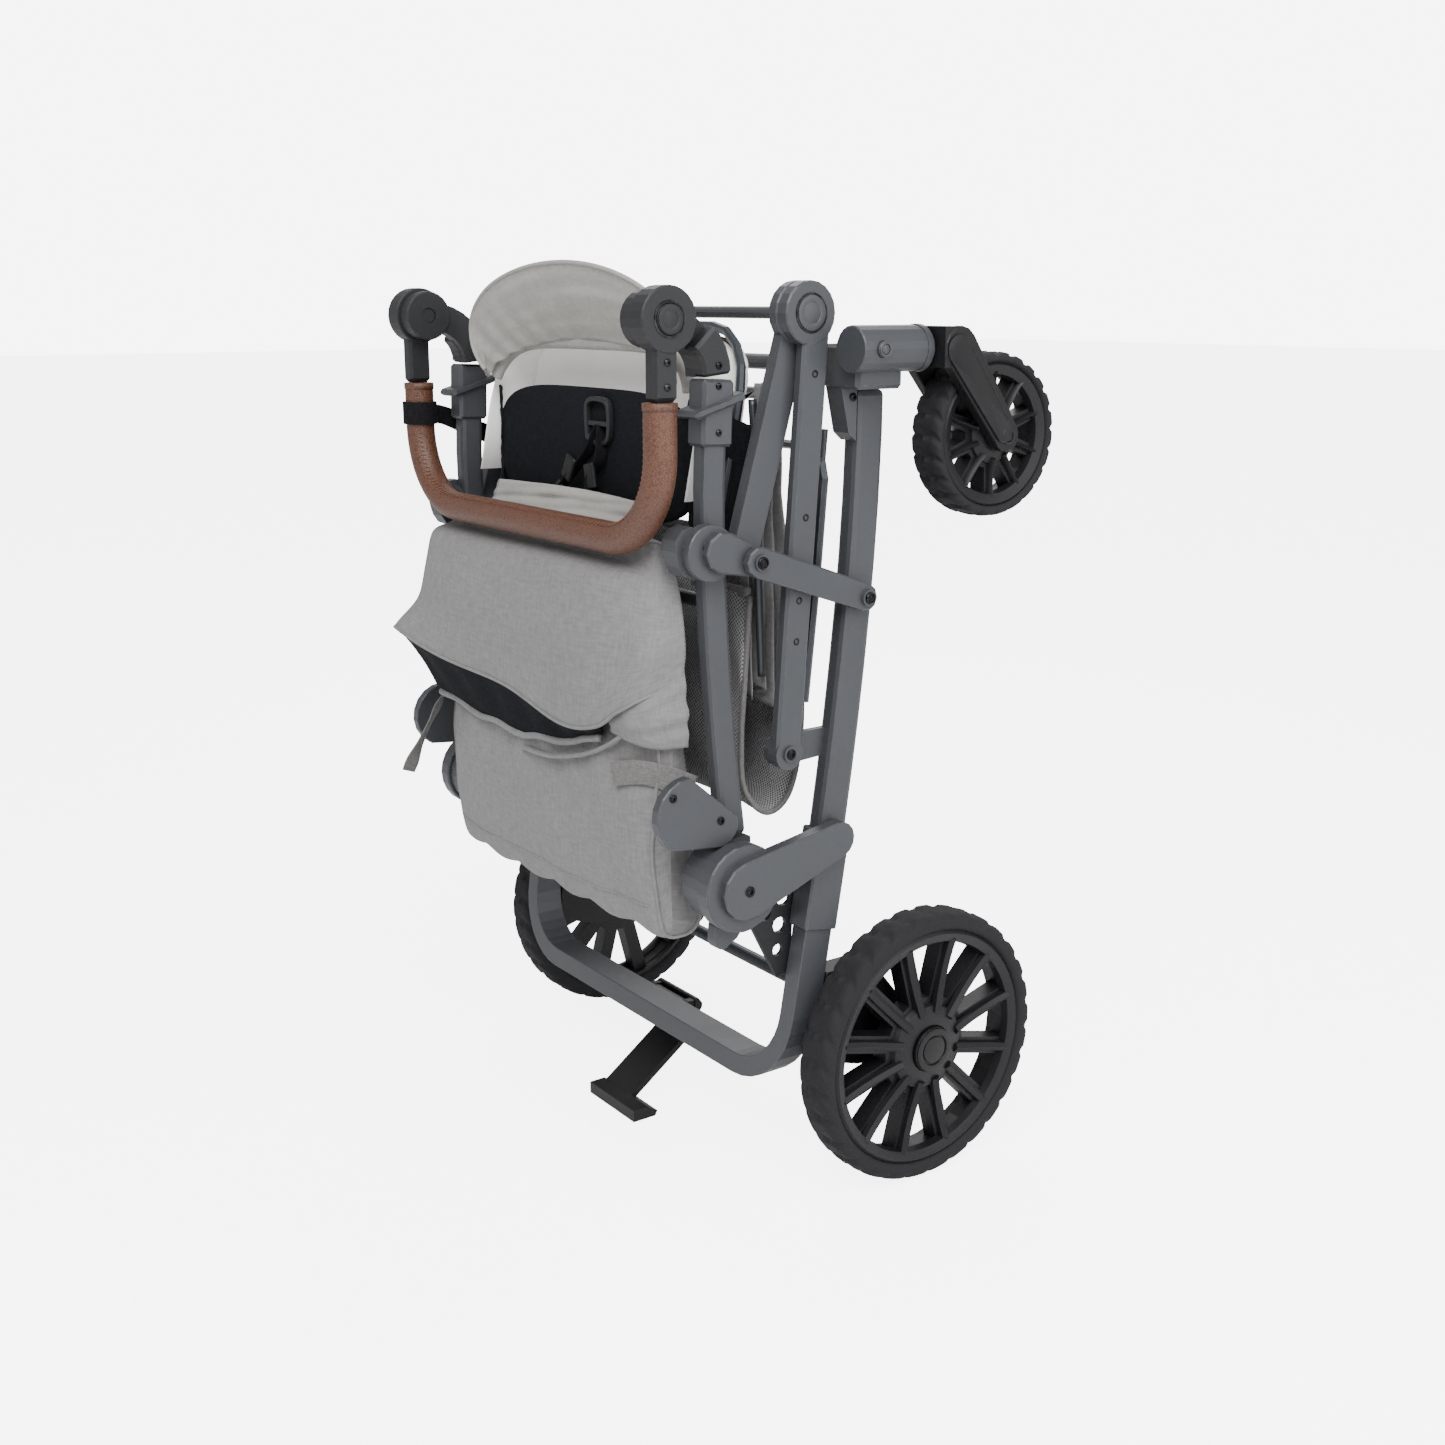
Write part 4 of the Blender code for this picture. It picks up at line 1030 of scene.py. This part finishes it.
# ---- inside: back panel, harness, cabin ---------------------------------------------------------
@dataclass
class Inside:
    """Dark back panel and side walls, the harness, the apron and the folded mesh cabin."""

    body: str = "handle_frame"
    floor_body: str = "chassis"
    buckle_y: float = -0.2215
    trough_half: float = 0.2240

    def panel(self) -> None:
        """Padded dark panel with an arched top: a grid pressed to the arch, crowned in the middle."""
        t, r = np.meshgrid(span(97), span(25), indexing="ij")
        angle = TAU * t
        s = np.sin(angle)
        x = 0.193 * signed(np.cos(angle), 0.5) * r
        z = 0.7650 + np.where(s > 0, 0.0690, 0.0640) * signed(s, 0.6) * r
        face = -0.2110 - 0.0055 * (1 - r ** 4) - 0.0012 * np.cos(x * 60) * (1 - r ** 2)
        obj = thicken(grid("panel_pad", spot(x, face, z), wrap_u=True), 0.0040)
        dress(obj, "lining", self.body, "back_panel")

    def harness(self) -> None:
        """Grey loop, its slot, two black straps and their clips."""
        loop = flow([(0.012, 0.785), (0.012, 0.818), (0.032, 0.824), (0.052, 0.818), (0.052, 0.785),
                     (0.032, 0.779), (0.012, 0.785)], 60)[:-1]
        middle = spot(loop[:, 0], self.buckle_y, loop[:, 1])
        ringed = sweep("tether_loop", middle, slab(0.005, 0.007), (0, 1, 0), True)
        dress(ringed, "charcoal", self.body, "harness_buckle")
        bar = spot(span(8, 0.012, 0.052), self.buckle_y, 0.7990)
        dress(sweep("tether_bar", bar, slab(0.005, 0.005), (0, 0, 1)), "charcoal", self.body)
        runs = ([(0.030, -0.2190, 0.796), (0.020, -0.2270, 0.770), (-0.010, -0.2310, 0.744),
                 (-0.030, -0.2330, 0.726)],
                [(0.036, -0.2190, 0.796), (0.044, -0.2280, 0.765), (0.030, -0.2320, 0.738),
                 (0.050, -0.2330, 0.722)])
        for number, knots in enumerate(runs):
            line = flow(knots, 40)
            strap = sweep(f"tether_strap_{number}", spot(*line.T), slab(0.0018, 0.014, 0.25), (0, 1, 0.001))
            dress(strap, "webbing", self.body)
        along = span(16, -0.013, 0.013)
        clips = ((-0.006, 0.752, 0.5), (0.036, 0.746, -0.2), (-0.030, 0.724, 0.9))
        for number, (x, z, lean) in enumerate(clips):
            path = spot(x + along * math.sin(lean), -0.2345, z + along * math.cos(lean))
            clip = sweep(f"tether_clip_{number}", path, slab(0.018, 0.0065, 0.45), (0, 1, 0.001))
            dress(clip, "black", self.body)

    def apron(self) -> None:
        """Pale apron above the bag's top edge."""
        u, v = np.meshgrid(span(41), span(13), indexing="ij")
        x = -0.150 + 0.300 * u
        y = -0.2400 - 0.014 * v + 0.0015 * ripple(u, v, 12)
        z = 0.728 - 0.030 * v + 0.004 * np.sin(np.pi * u)
        sheet("bag_apron", spot(x, y, z), 0.0020, "canopy", self.body, "laid", "bag_shell")

    def cabin(self) -> None:
        """Mesh trough with soft folds, the binding on its two sides and the hems on its two rims."""
        section = flow([(-0.1700, 0.6440), (-0.1760, 0.5600), (-0.1800, 0.5000), (-0.1760, 0.4480),
                        (-0.1480, 0.4180), (-0.1180, 0.4360), (-0.1040, 0.5000), (-0.1060, 0.6000),
                        (-0.1080, 0.6880)], 97)
        v = span(81, -1, 1)
        y = section[:, :1] + 0.0022 * ripple(section[:, 1:] * 3, v[None, :], 21)
        z = section[:, 1:] - 0.004 * np.abs(v) ** 6
        sheet("cabin_net", spot(self.trough_half * v, y, z), 0.0016, "mesh", self.floor_body, "hung",
              "floor_hoop", "cabin_mesh")
        for side in Side:
            path = spot(side.value * (self.trough_half + 0.0005), section[:, 0], section[:, 1] - 0.004)
            edge = sweep("cabin_edge_" + side.word, path, slab(0.0050, 0.0060, 0.5), (1, 0, 0))
            dress(edge, "grey_webbing", self.floor_body)
        t = span(61)
        for number, (y0, z0) in enumerate(section[[0, -1]]):
            rim = spot(self.trough_half * (2 * t - 1), y0, z0 - 0.003 * np.sin(np.pi * t))
            hem = sweep(f"cabin_hem_{number}", rim, slab(0.0045, 0.010, 0.5), (0, 0, 1))
            dress(hem, "grey_webbing", self.floor_body)

    def wings(self) -> None:
        """Dark side walls from the back panel round to the hood: x grows as the sine of the turn."""
        turn, rise = np.meshgrid(span(33), span(21), indexing="ij")
        for side in Side:
            x = side.value * (0.186 + 0.040 * np.sin(0.5 * np.pi * turn))
            y = -0.2150 + 0.052 * turn ** 1.3 + 0.0012 * ripple(turn * 2, rise * 2, 31)
            z = 0.700 + rise * (0.118 + 0.012 * np.cos(np.pi * turn))
            sheet("panel_wing_" + side.word, spot(x, y, z), 0.0016, "lining", self.body, "hung",
                  "panel_pad")

    def gussets(self) -> None:
        """Folded cabin sides: a cloth whose plan waves, x = middle + swing cos(turns), hood downwards."""
        along, rise = np.meshgrid(span(97), span(61), indexing="ij")
        for side in Side:
            shift = 0.9 * (side is Side.LEFT)
            z = 0.5350 + 0.310 * rise + 0.012 * np.sin(7 * along) * (1 - rise)
            slim = np.clip((z - 0.690) / 0.050, 0, 1)
            swing = 0.0130 - 0.0070 * slim
            fold = np.cos(TAU * 3.0 * along + 1.1 * np.sin(3.3 * rise + shift) + shift)
            x = side.value * (0.2120 + 0.0070 * slim + swing * fold + 0.0012 * ripple(along, rise * 2, 41))
            y = (-0.1680 + 0.0080 * slim + (0.0460 - 0.0180 * slim) * along
                 + 0.002 * np.sin(2.6 * rise + 5 * along))
            # The sides take the darker heather cloth in place of the canopy cloth, which looks too bright
            # here: their colour holds painted shade for the shaded cabin sides.
            obj = sheet("cabin_gusset_" + side.word, spot(x, y, z), 0.0012, "heather", self.body,
                        "gathered", "hood_front")
            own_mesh(obj)

    def build(self) -> None:
        """Make every piece inside the frame."""
        self.wings()
        self.gussets()
        self.panel()
        self.harness()
        self.apron()
        self.cabin()


# ---- handlebar -------------------------------------------------------------------------------
@dataclass
class Handle:
    """Leather grip with its stitched seam, and the webbing strap round its left arm."""

    body: str = "handlebar"
    x: float = 0.245
    y: float = -0.288
    low: float = 0.700
    corner: float = 0.085
    radius: float = 0.0158
    strap_z: float = 0.7985
    strap_radius: float = 0.0182

    def line(self, count: int) -> Array:
        """U-shaped middle line of the grip, left arm to right arm, evenly spaced.

        Args:
            count: Points on the line.

        Returns:
            Array (count, 3).
        """
        a = span(33, np.pi, 1.5 * np.pi)
        x = np.concatenate([[-self.x, -self.x], -(self.x - self.corner) + self.corner * np.cos(a)])
        z = np.concatenate([[0.8320, 0.8080], self.low + self.corner + self.corner * np.sin(a)])
        x, z = np.concatenate([x, -x[::-1]]), np.concatenate([z, z[::-1]])
        run = np.concatenate([[0], np.cumsum(np.hypot(np.diff(x), np.diff(z)))])
        even = span(count, 0, run[-1])
        return spot(np.interp(even, run, x), self.y, np.interp(even, run, z))

    def grip(self) -> None:
        """The leather tube, with a short cuff at each end."""
        obj = sweep("grip_leather", self.line(161), ring(self.radius, 28), (0, 1, 0))
        dress(obj, "leather", self.body, "handlebar_grip")
        for side in Side:
            cuff = spot(side.value * self.x, self.y, span(3, 0.8250, 0.8318))
            made = sweep("grip_cuff_" + side.word, cuff, ring(self.radius + 0.0008, 24), (0, 1, 0))
            dress(made, "leather", self.body)

    def seam(self) -> None:
        """Stitches along the front of the grip: short slanted threads, each raised in its middle."""
        line = self.line(220)
        tangent = np.gradient(line, axis=0)
        tangent /= np.linalg.norm(tangent, axis=1)[:, None]
        inward = np.cross(tangent, [0.0, 1.0, 0.0])
        face = np.array([0.0, -0.55, 0.0]) + 0.83 * inward * np.where(inward[:, 2:] < 0, -1, 1)
        face /= np.linalg.norm(face, axis=1)[:, None]
        across = np.cross(tangent, face)
        threads, t = [], span(5)[:, None]
        middle, slant = line + face * (self.radius + 0.0002), across * 0.0026 - tangent * 0.0012
        for k in range(4, len(line) - 4, 2):
            path = middle[k] + slant[k] * (1 - 2 * t) + face[k] * 0.0007 * np.sin(np.pi * t)
            threads.append(sweep(f"stitch_{k}", path, ring(0.0005, 5), tuple(tangent[k])))
        dress(merged("grip_stitches", threads), "thread", self.body)

    def strap(self) -> None:
        """Webbing band round the left arm, and its tail past the handle tube."""
        t = span(49, 0, TAU)[:-1]
        loop = spot(-self.x + self.strap_radius * np.cos(t), self.y + self.strap_radius * np.sin(t),
                    self.strap_z)
        band = sweep("strap_band", loop, slab(0.0020, 0.025, 0.25), (0, 0, 1), True)
        dress(band, "webbing", self.body, "grip_strap")
        tail = flow([(-0.2590, -0.2760, self.strap_z), (-0.2600, -0.2500, 0.7930),
                     (-0.2600, -0.2200, 0.7800), (-0.2580, -0.1850, 0.7660)], 40)
        hanging = sweep("strap_tail", spot(*tail.T), slab(0.0020, 0.021, 0.25), (0, 0, 1))
        dress(hanging, "webbing", self.body)

    def build(self) -> None:
        """Make the grip and the strap."""
        self.grip()
        self.seam()
        self.strap()


# ---- wheels ----------------------------------------------------------------------------------
@dataclass
class Wheel:
    """Treaded tyre, bladed rim and hub of one wheel."""

    node: str
    body: str
    side: Side
    radius: float
    rim: float
    width: float
    lugs: int
    spokes: int
    hub: float

    def centre(self) -> Array:
        """Middle of the wheel, from its CAD tyre."""
        low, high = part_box(self.node + "_tyre_" + self.side.word)
        return np.array((low + high) / 2)

    def tyre(self) -> None:
        """Tyre: a round profile with a wavy tread, radius = base + lug(angle, place across)."""
        turn, round_ = 12 * self.lugs, 33
        a, p = np.meshgrid(span(turn + 1, 0, TAU)[:-1], span(round_, 0, TAU)[:-1], indexing="ij")
        half = self.width / 2 - 0.0005
        deep = (self.radius - self.rim) / 2
        c, s = np.cos(p), np.sin(p)
        across = half * signed(s, 0.75)
        height = self.rim + deep + deep * signed(c, 0.72)
        tread = np.clip((c + 0.25) / 0.5, 0, 1)
        wave = np.sin(self.lugs * a + 2.4 * np.sin(np.pi * across / half) + np.pi * (across > 0))
        block = np.clip(wave * 3 + 1.4, -1, 1) * 0.5 - 0.5
        groove = np.exp(-((np.abs(across) / half - 0.30 - 0.06 * np.sin(self.lugs * a)) / 0.07) ** 2)
        height = height + tread * (0.0022 * block - 0.0016 * groove)
        across = across * (1 + 0.05 * tread * block * np.abs(s))
        height = np.minimum(height, self.radius)
        middle = self.centre()
        points = np.stack([across, height * np.sin(a), -height * np.cos(a)], -1) + middle
        obj = grid(self.node + "_tread_" + self.side.word, points, wrap_u=True, wrap_v=True)
        dress(sharpened(obj, 40), "tyre", self.body, self.node + "_tyre_" + self.side.word)

    def rings(self) -> None:
        """Rim lip and hub ring on the outer face."""
        middle, out = self.centre(), self.side.value
        face = out * (self.width / 2 - 0.004)
        lip = np.array([[face - out * 0.010, self.rim - 0.012], [face - out * 0.002, self.rim - 0.010],
                        [face, self.rim - 0.006], [face + out * 0.0015, self.rim - 0.001],
                        [face - out * 0.002, self.rim + 0.0035], [face - out * 0.014, self.rim + 0.0035],
                        [face - out * 0.012, self.rim - 0.004]])
        made = spun(self.node + "_lip_" + self.side.word, looped(lip), middle, 0, 96)
        dress(sharpened(made), "wheel", self.body)
        cone = np.array([[face - out * 0.012, self.hub * 1.9], [face - out * 0.004, self.hub * 1.75],
                         [face + out * 0.001, self.hub * 1.15], [face + out * 0.001, self.hub * 0.95],
                         [face - out * 0.012, self.hub * 0.9]])
        made = spun(self.node + "_cone_" + self.side.word, looped(cone), middle, 0, 64)
        dress(sharpened(made), "wheel", self.body)

    def ribs(self) -> None:
        """Raised blade on each spoke: widest at the rim, with a ridge down its middle."""
        middle, out = self.centre(), self.side.value
        inner, outer = self.hub * 1.5, self.rim - 0.007
        t = span(12)
        run = inner + (outer - inner) * t
        face = out * (self.width / 2 - 0.010 + 0.006 * (1 - t) ** 2 + 0.004 * t ** 3)
        ridge = np.array([[-0.0055, -0.005], [-0.0045, 0.0], [0.0, 0.0030], [0.0045, 0.0],
                          [0.0055, -0.005]])
        ridge = (ridge * [self.rim / 0.127, out])[:, ::-1]
        blades = []
        for k in range(self.spokes):
            turn = TAU * (k + 0.5) / self.spokes
            path = np.stack([face, run * math.cos(turn), run * math.sin(turn)], -1) + middle
            blades.append(sweep(f"blade_{k}", path, ridge, (0.0, -math.sin(turn), math.cos(turn))))
        dress(sharpened(merged(self.node + "_blades_" + self.side.word, blades)), "wheel", self.body)

    def build(self) -> None:
        """Make the tyre and what stands on the rim."""
        self.tyre()
        self.rings()
        self.ribs()


# ---- small hardware --------------------------------------------------------------------------
@dataclass(frozen=True)
class Screw:
    """Domed screw head with a round socket, on a face square to X."""

    body: str
    x: float
    y: float
    z: float
    radius: float = 0.0042

    def make(self, side: Side) -> bpy.types.Object:
        """One head.

        Args:
            side: The side of the frame that it is on.

        Returns:
            The new object.
        """
        r, out = self.radius, side.value
        profile = np.array([[0.0, r], [0.0010, r], [0.0019, 0.72 * r], [0.0020, 0.46 * r],
                            [0.0006, 0.42 * r], [0.0006, 0.0]])
        profile[:, 0] = out * (self.x + profile[:, 0])
        return spun("screw", profile, (0.0, self.y + AXLE_Y, self.z), 0, 18)


@dataclass(frozen=True)
class Cap:
    """Round press cap with a groove, on a face square to X; {} in its body stands for the side."""

    name: str
    body: str
    finish: str
    x: float
    y: float
    z: float
    radius: float
    groove: float = 0.0006

    def make(self, side: Side) -> bpy.types.Object:
        """One cap: rim, groove and a slightly domed button, finished.

        Args:
            side: The side of the frame that it is on.

        Returns:
            The new object.
        """
        profile = np.array([[-0.001, 1.0], [0.0012, 0.98], [0.0018, 0.90], [0.0016, 0.72],
                            [-self.groove, 0.68], [-self.groove, 0.63], [0.0012, 0.60], [0.0020, 0.40],
                            [0.0022, 0.0]]) * [1.0, self.radius]
        profile[:, 0] = side.value * (self.x + profile[:, 0])
        made = spun(f"{self.name}_{side.word}", profile, (0.0, self.y + AXLE_Y, self.z), 0, 40)
        return dress(sharpened(made), self.finish, self.body.format(side.word))


@dataclass
class Hardware:
    """Screws, caps, bolts, rings, thin tubes and fork plates that sit on the frame."""

    dial: Cap = Cap("post_knuckle_cap", "posts", "frame", 0.2748, -0.1365, 0.911, 0.0165, -0.0016)
    caps: tuple = (
        Cap("handle_knob", "handle_button_{}", "charcoal", 0.2602, -0.286, 0.906, 0.0134, -0.0016),
        Cap("hub_disc", "rear_wheel_{}", "black", 0.3268, 0.0, 0.150, 0.0240),
        Cap("fork_bolt", "caster_{}", "black", 0.3330, 0.068, 0.792, 0.0085),
        Cap("latch_rivet", "latch_{}", "screw", 0.2895, -0.0695, 0.637, 0.0060),
        Cap("rail_rivet", "handle_frame", "screw", 0.2878, -0.2015, 0.683, 0.0062),
    )
    caster_cap: Cap = Cap("caster_cap", "caster_button_{}", "frame", 0.3222, -0.086, 0.878, 0.0072)
    screws: tuple = (
        Screw("chassis", 0.2905, -0.2175, 0.362, 0.0055), Screw("handle_frame", 0.2618, -0.288, 0.462),
        Screw("handle_frame", 0.2618, -0.232, 0.430), Screw("handle_frame", 0.2650, -0.250, 0.698, 0.0050),
        Screw("handle_frame", 0.2520, -0.2270, 0.8640, 0.0034),
        Screw("top_rails", 0.2592, -0.128, 0.872, 0.0034),
        Screw("posts", 0.2726, -0.131, 0.855), Screw("posts", 0.2726, -0.147, 0.640),
        Screw("posts", 0.2726, -0.150, 0.600), Screw("posts", 0.2726, -0.140, 0.720),
        Screw("chassis", 0.2735, -0.0835, 0.832), Screw("handlebar", 0.2575, -0.288, 0.868, 0.0034),
        Screw("handlebar", 0.2575, -0.288, 0.846, 0.0034), Screw("chassis", 0.2768, -0.157, 0.488, 0.0055),
    )

    def heads(self) -> None:
        """Every screw, gathered by the body that it is in."""
        for body in sorted({screw.body for screw in self.screws}):
            made = [screw.make(side) for screw in self.screws if screw.body == body for side in Side]
            dress(sharpened(merged(body + "_screws", made)), "screw", body)

    def collar_screws(self) -> None:
        """Two screws in each release collar, which slides."""
        for side in Side:
            body = "release_collar_" + side.word
            made = [Screw(body, 0.2535, -0.2283, z, 0.0032).make(side) for z in (0.8030, 0.8455)]
            dress(sharpened(merged("collar_screws_" + side.word, made)), "screw", body)

    def knuckles(self, side: Side) -> None:
        """Dark ring round the dial of a post's knuckle and round the knob of the handlebar's.

        Args:
            side: The side of the frame that they are on.
        """
        section = looped(np.array([[-0.0004, 0.0], [0.0007, 0.0004], [0.0007, 0.0017], [-0.0004, 0.0021]]))
        for name, body, x, y, z, radius in (("post_ring", "posts", 0.2746, -0.1365, 0.911, 0.0168),
                                            ("handle_ring", "handlebar", 0.2590, -0.2860, 0.906, 0.0150)):
            band = (section + [x, radius]) * [side.value, 1]
            made = spun(f"{name}_{side.word}", band, (0.0, y + AXLE_Y, z), 0, 48)
            dress(sharpened(made), "screw", body)

    def press_caps(self) -> None:
        """Press caps and rings in both knuckles, and caps on the hub, the fork bolt and the links."""
        for side in Side:
            self.dial.make(side)
            self.knuckles(side)
            for cap in self.caps:
                cap.make(side)

    def hoops(self) -> None:
        """A thin tube and a thinner rod on each side of the cabin, inside the posts."""
        for side in Side:
            x = side.value
            line = flow([(x * 0.232, -0.160, 0.560), (x * 0.233, -0.166, 0.660), (x * 0.232, -0.168, 0.760),
                         (x * 0.222, -0.166, 0.830)], 40)
            tube = sweep("hoop_tube_" + side.word, spot(*line.T), ring(0.0042, 12), (1, 0, 0))
            dress(tube, "steel", "chassis")
            line = flow([(x * 0.2400, -0.090, 0.800), (x * 0.2400, -0.100, 0.700),
                         (x * 0.2400, -0.118, 0.575)], 30)
            rod = sweep("thin_rod_" + side.word, spot(*line.T), ring(0.0032, 10), (1, 0, 0))
            dress(rod, "frame", "chassis")

    def ring_marks(self) -> None:
        """Ring where each fork meets its socket, and the cap of the caster's button."""
        for side in Side:
            x = side.value * 0.298
            profile = np.array([[-0.0035, 0.0180], [-0.0035, 0.0228], [0.0030, 0.0228], [0.0030, 0.0180],
                                [-0.0035, 0.0180]])
            collar = spun("socket_ring_" + side.word, profile, (x, -0.0260 + AXLE_Y, 0.878), 1, 40)
            dress(sharpened(collar), "frame", "chassis")
            self.caster_cap.make(side)

    def side_plates(self) -> None:
        """Raised plate on each fork's outer face: an offset capsule with a stepped edge."""
        start, end = np.array([-0.001, 0.876]), np.array([0.062, 0.797])
        along = (end - start) / np.linalg.norm(end - start)
        square = np.array([-along[1], along[0]])
        a = span(25, 0.5 * np.pi, 1.5 * np.pi)
        for side in Side:
            arc = np.cos(a)[:, None] * along + np.sin(a)[:, None] * square
            loop = np.concatenate([start + 0.0155 * arc, end - 0.0115 * arc])
            middle = loop.mean(0)
            rows = []
            for shrink, lift in ((1.0, 0.0), (0.97, 0.0012), (0.86, 0.0012), (0.82, 0.0004), (0.0, 0.0004)):
                line = middle + (loop - middle) * shrink
                rows.append(spot(side.value * (0.3338 + lift), line[:, 0], line[:, 1]))
            obj = grid("fork_plate_" + side.word, np.stack(rows), wrap_v=True)
            dress(sharpened(obj), "black", "caster_" + side.word)

    def build(self) -> None:
        """Make every small piece."""
        self.heads()
        self.collar_screws()
        self.press_caps()
        self.hoops()
        self.ring_marks()
        self.side_plates()


# ---- the frame's own nodes -------------------------------------------------------------------
def paint_frame() -> None:
    """Give every CAD node the finish of its record slot."""
    slots = {part["node"]: part["material_slot"] for part in frame["record"]["subparts"]}
    for name, node in frame["nodes"].items():
        node.data.materials.clear()
        node.data.materials.append(MATERIALS[slots[name]])


# ---- stage -----------------------------------------------------------------------------------
@dataclass
class Stage:
    """Pale floor, soft lights and camera; angles in degrees, a lamp's place, size and power."""

    reach: float = 30.0
    lens: float = 42.363
    sensor: float = 36.0
    eye: tuple = (1.54727, -1.16055, 0.92171)
    tilt: float = 76.079
    turn: float = 54.097
    aim: tuple = (0, 0, 0.5)
    lamps: tuple = (("key", (2.0, -1.6, 3.1), 2.2, 175), ("fill", (2.8, 0.8, 1.6), 2.4, 52),
                    ("rim", (-2.0, 1.6, 2.4), 2.0, 42))

    def floor(self) -> None:
        """A flat floor that looks plain and bright to the camera."""
        edge = span(2, -self.reach, self.reach)
        u, v = np.meshgrid(edge, edge, indexing="ij")
        obj = grid("floor", np.stack([u, v, 0 * u - 0.0002], -1))
        material, writer, shader, at = begun("pale_floor", 0.9)
        noise = writer.add("TexNoise", in_Vector=at.outputs["Object"], in_Scale=3.0)
        pale = writer.blend(noise.outputs[0], (0.86, 0.86, 0.86), (0.89, 0.89, 0.89))
        writer.set(shader, "Base_Color", pale)
        shader.inputs["Emission Color"].default_value = (1.0, 1.0, 1.0, 1)
        seen = writer.add("LightPath").outputs["Is Camera Ray"]
        writer.set(shader, "Emission_Strength", writer.math("MULTIPLY_ADD", seen, 5.0, 0.15))
        obj.data.materials.append(material)

    def light(self, name: str, where: tuple, size: float, power: float) -> None:
        """A square soft light that looks at the middle of the object.

        Args:
            name: Name of the light.
            where: Its place.
            size: Its side in metres.
            power: Its power in watts.
        """
        lamp = bpy.data.lights.new(name, "AREA")
        lamp.energy = power
        lamp.size = size
        obj = bpy.data.objects.new(name, lamp)
        obj.location = where
        obj.rotation_euler = (Vector(self.aim) - Vector(where)).to_track_quat("-Z", "Y").to_euler()
        bpy.context.scene.collection.objects.link(obj)

    def sky(self) -> None:
        """Soft white surroundings, brighter where the camera sees them."""
        world = bpy.data.worlds.new("studio")
        world.use_nodes = True
        w = Tree(world.node_tree)
        glow = world.node_tree.nodes["Background"]
        glow.inputs[0].default_value = (1.0, 1.0, 1.0, 1)
        glow.inputs[1].default_value = 0.70
        backdrop = w.add("Background", in_0=(1.0, 1.0, 1.0, 1), in_1=7.0)
        seen = w.add("LightPath").outputs["Is Camera Ray"]
        mix = w.add("MixShader", in_0=seen, in_1=glow.outputs[0], in_2=backdrop.outputs[0])
        world.node_tree.links.new(mix.outputs[0], world.node_tree.nodes["World Output"].inputs[0])
        bpy.context.scene.world = world

    def camera(self) -> None:
        """The camera, placed from the rear axle."""
        camera = bpy.data.cameras.new("camera")
        camera.lens = self.lens
        camera.sensor_width = self.sensor
        obj = bpy.data.objects.new("camera", camera)
        obj.location = spot(*self.eye)
        obj.rotation_euler = (math.radians(self.tilt), 0.0, math.radians(self.turn))
        bpy.context.scene.collection.objects.link(obj)
        bpy.context.scene.camera = obj

    def build(self) -> None:
        """Make the floor, the lights, the sky and the camera."""
        self.floor()
        for lamp in self.lamps:
            self.light(*lamp)
        self.sky()
        self.camera()


def main() -> None:
    """Build the whole picture in order and say what was made."""
    logging.basicConfig(level=logging.INFO, format="%(message)s")
    Stage().build()
    paint_frame()
    parts: list = [Bag(), Canopy(), Inside(), Handle(), Hardware()]
    for side in Side:
        parts.append(Wheel("rear", "rear_wheel_" + side.word, side, 0.150, 0.1274, 0.046, 30, 12, 0.026))
        parts.append(Wheel("front", "front_wheel_" + side.word, side, 0.082, 0.0694, 0.042, 24, 10, 0.016))
    for part in parts:
        before = len(PIECES)
        part.build()
        LOG.info("%s: %s", type(part).__name__, ", ".join(PIECES[before:]))


if __name__ == "__main__":
    main()
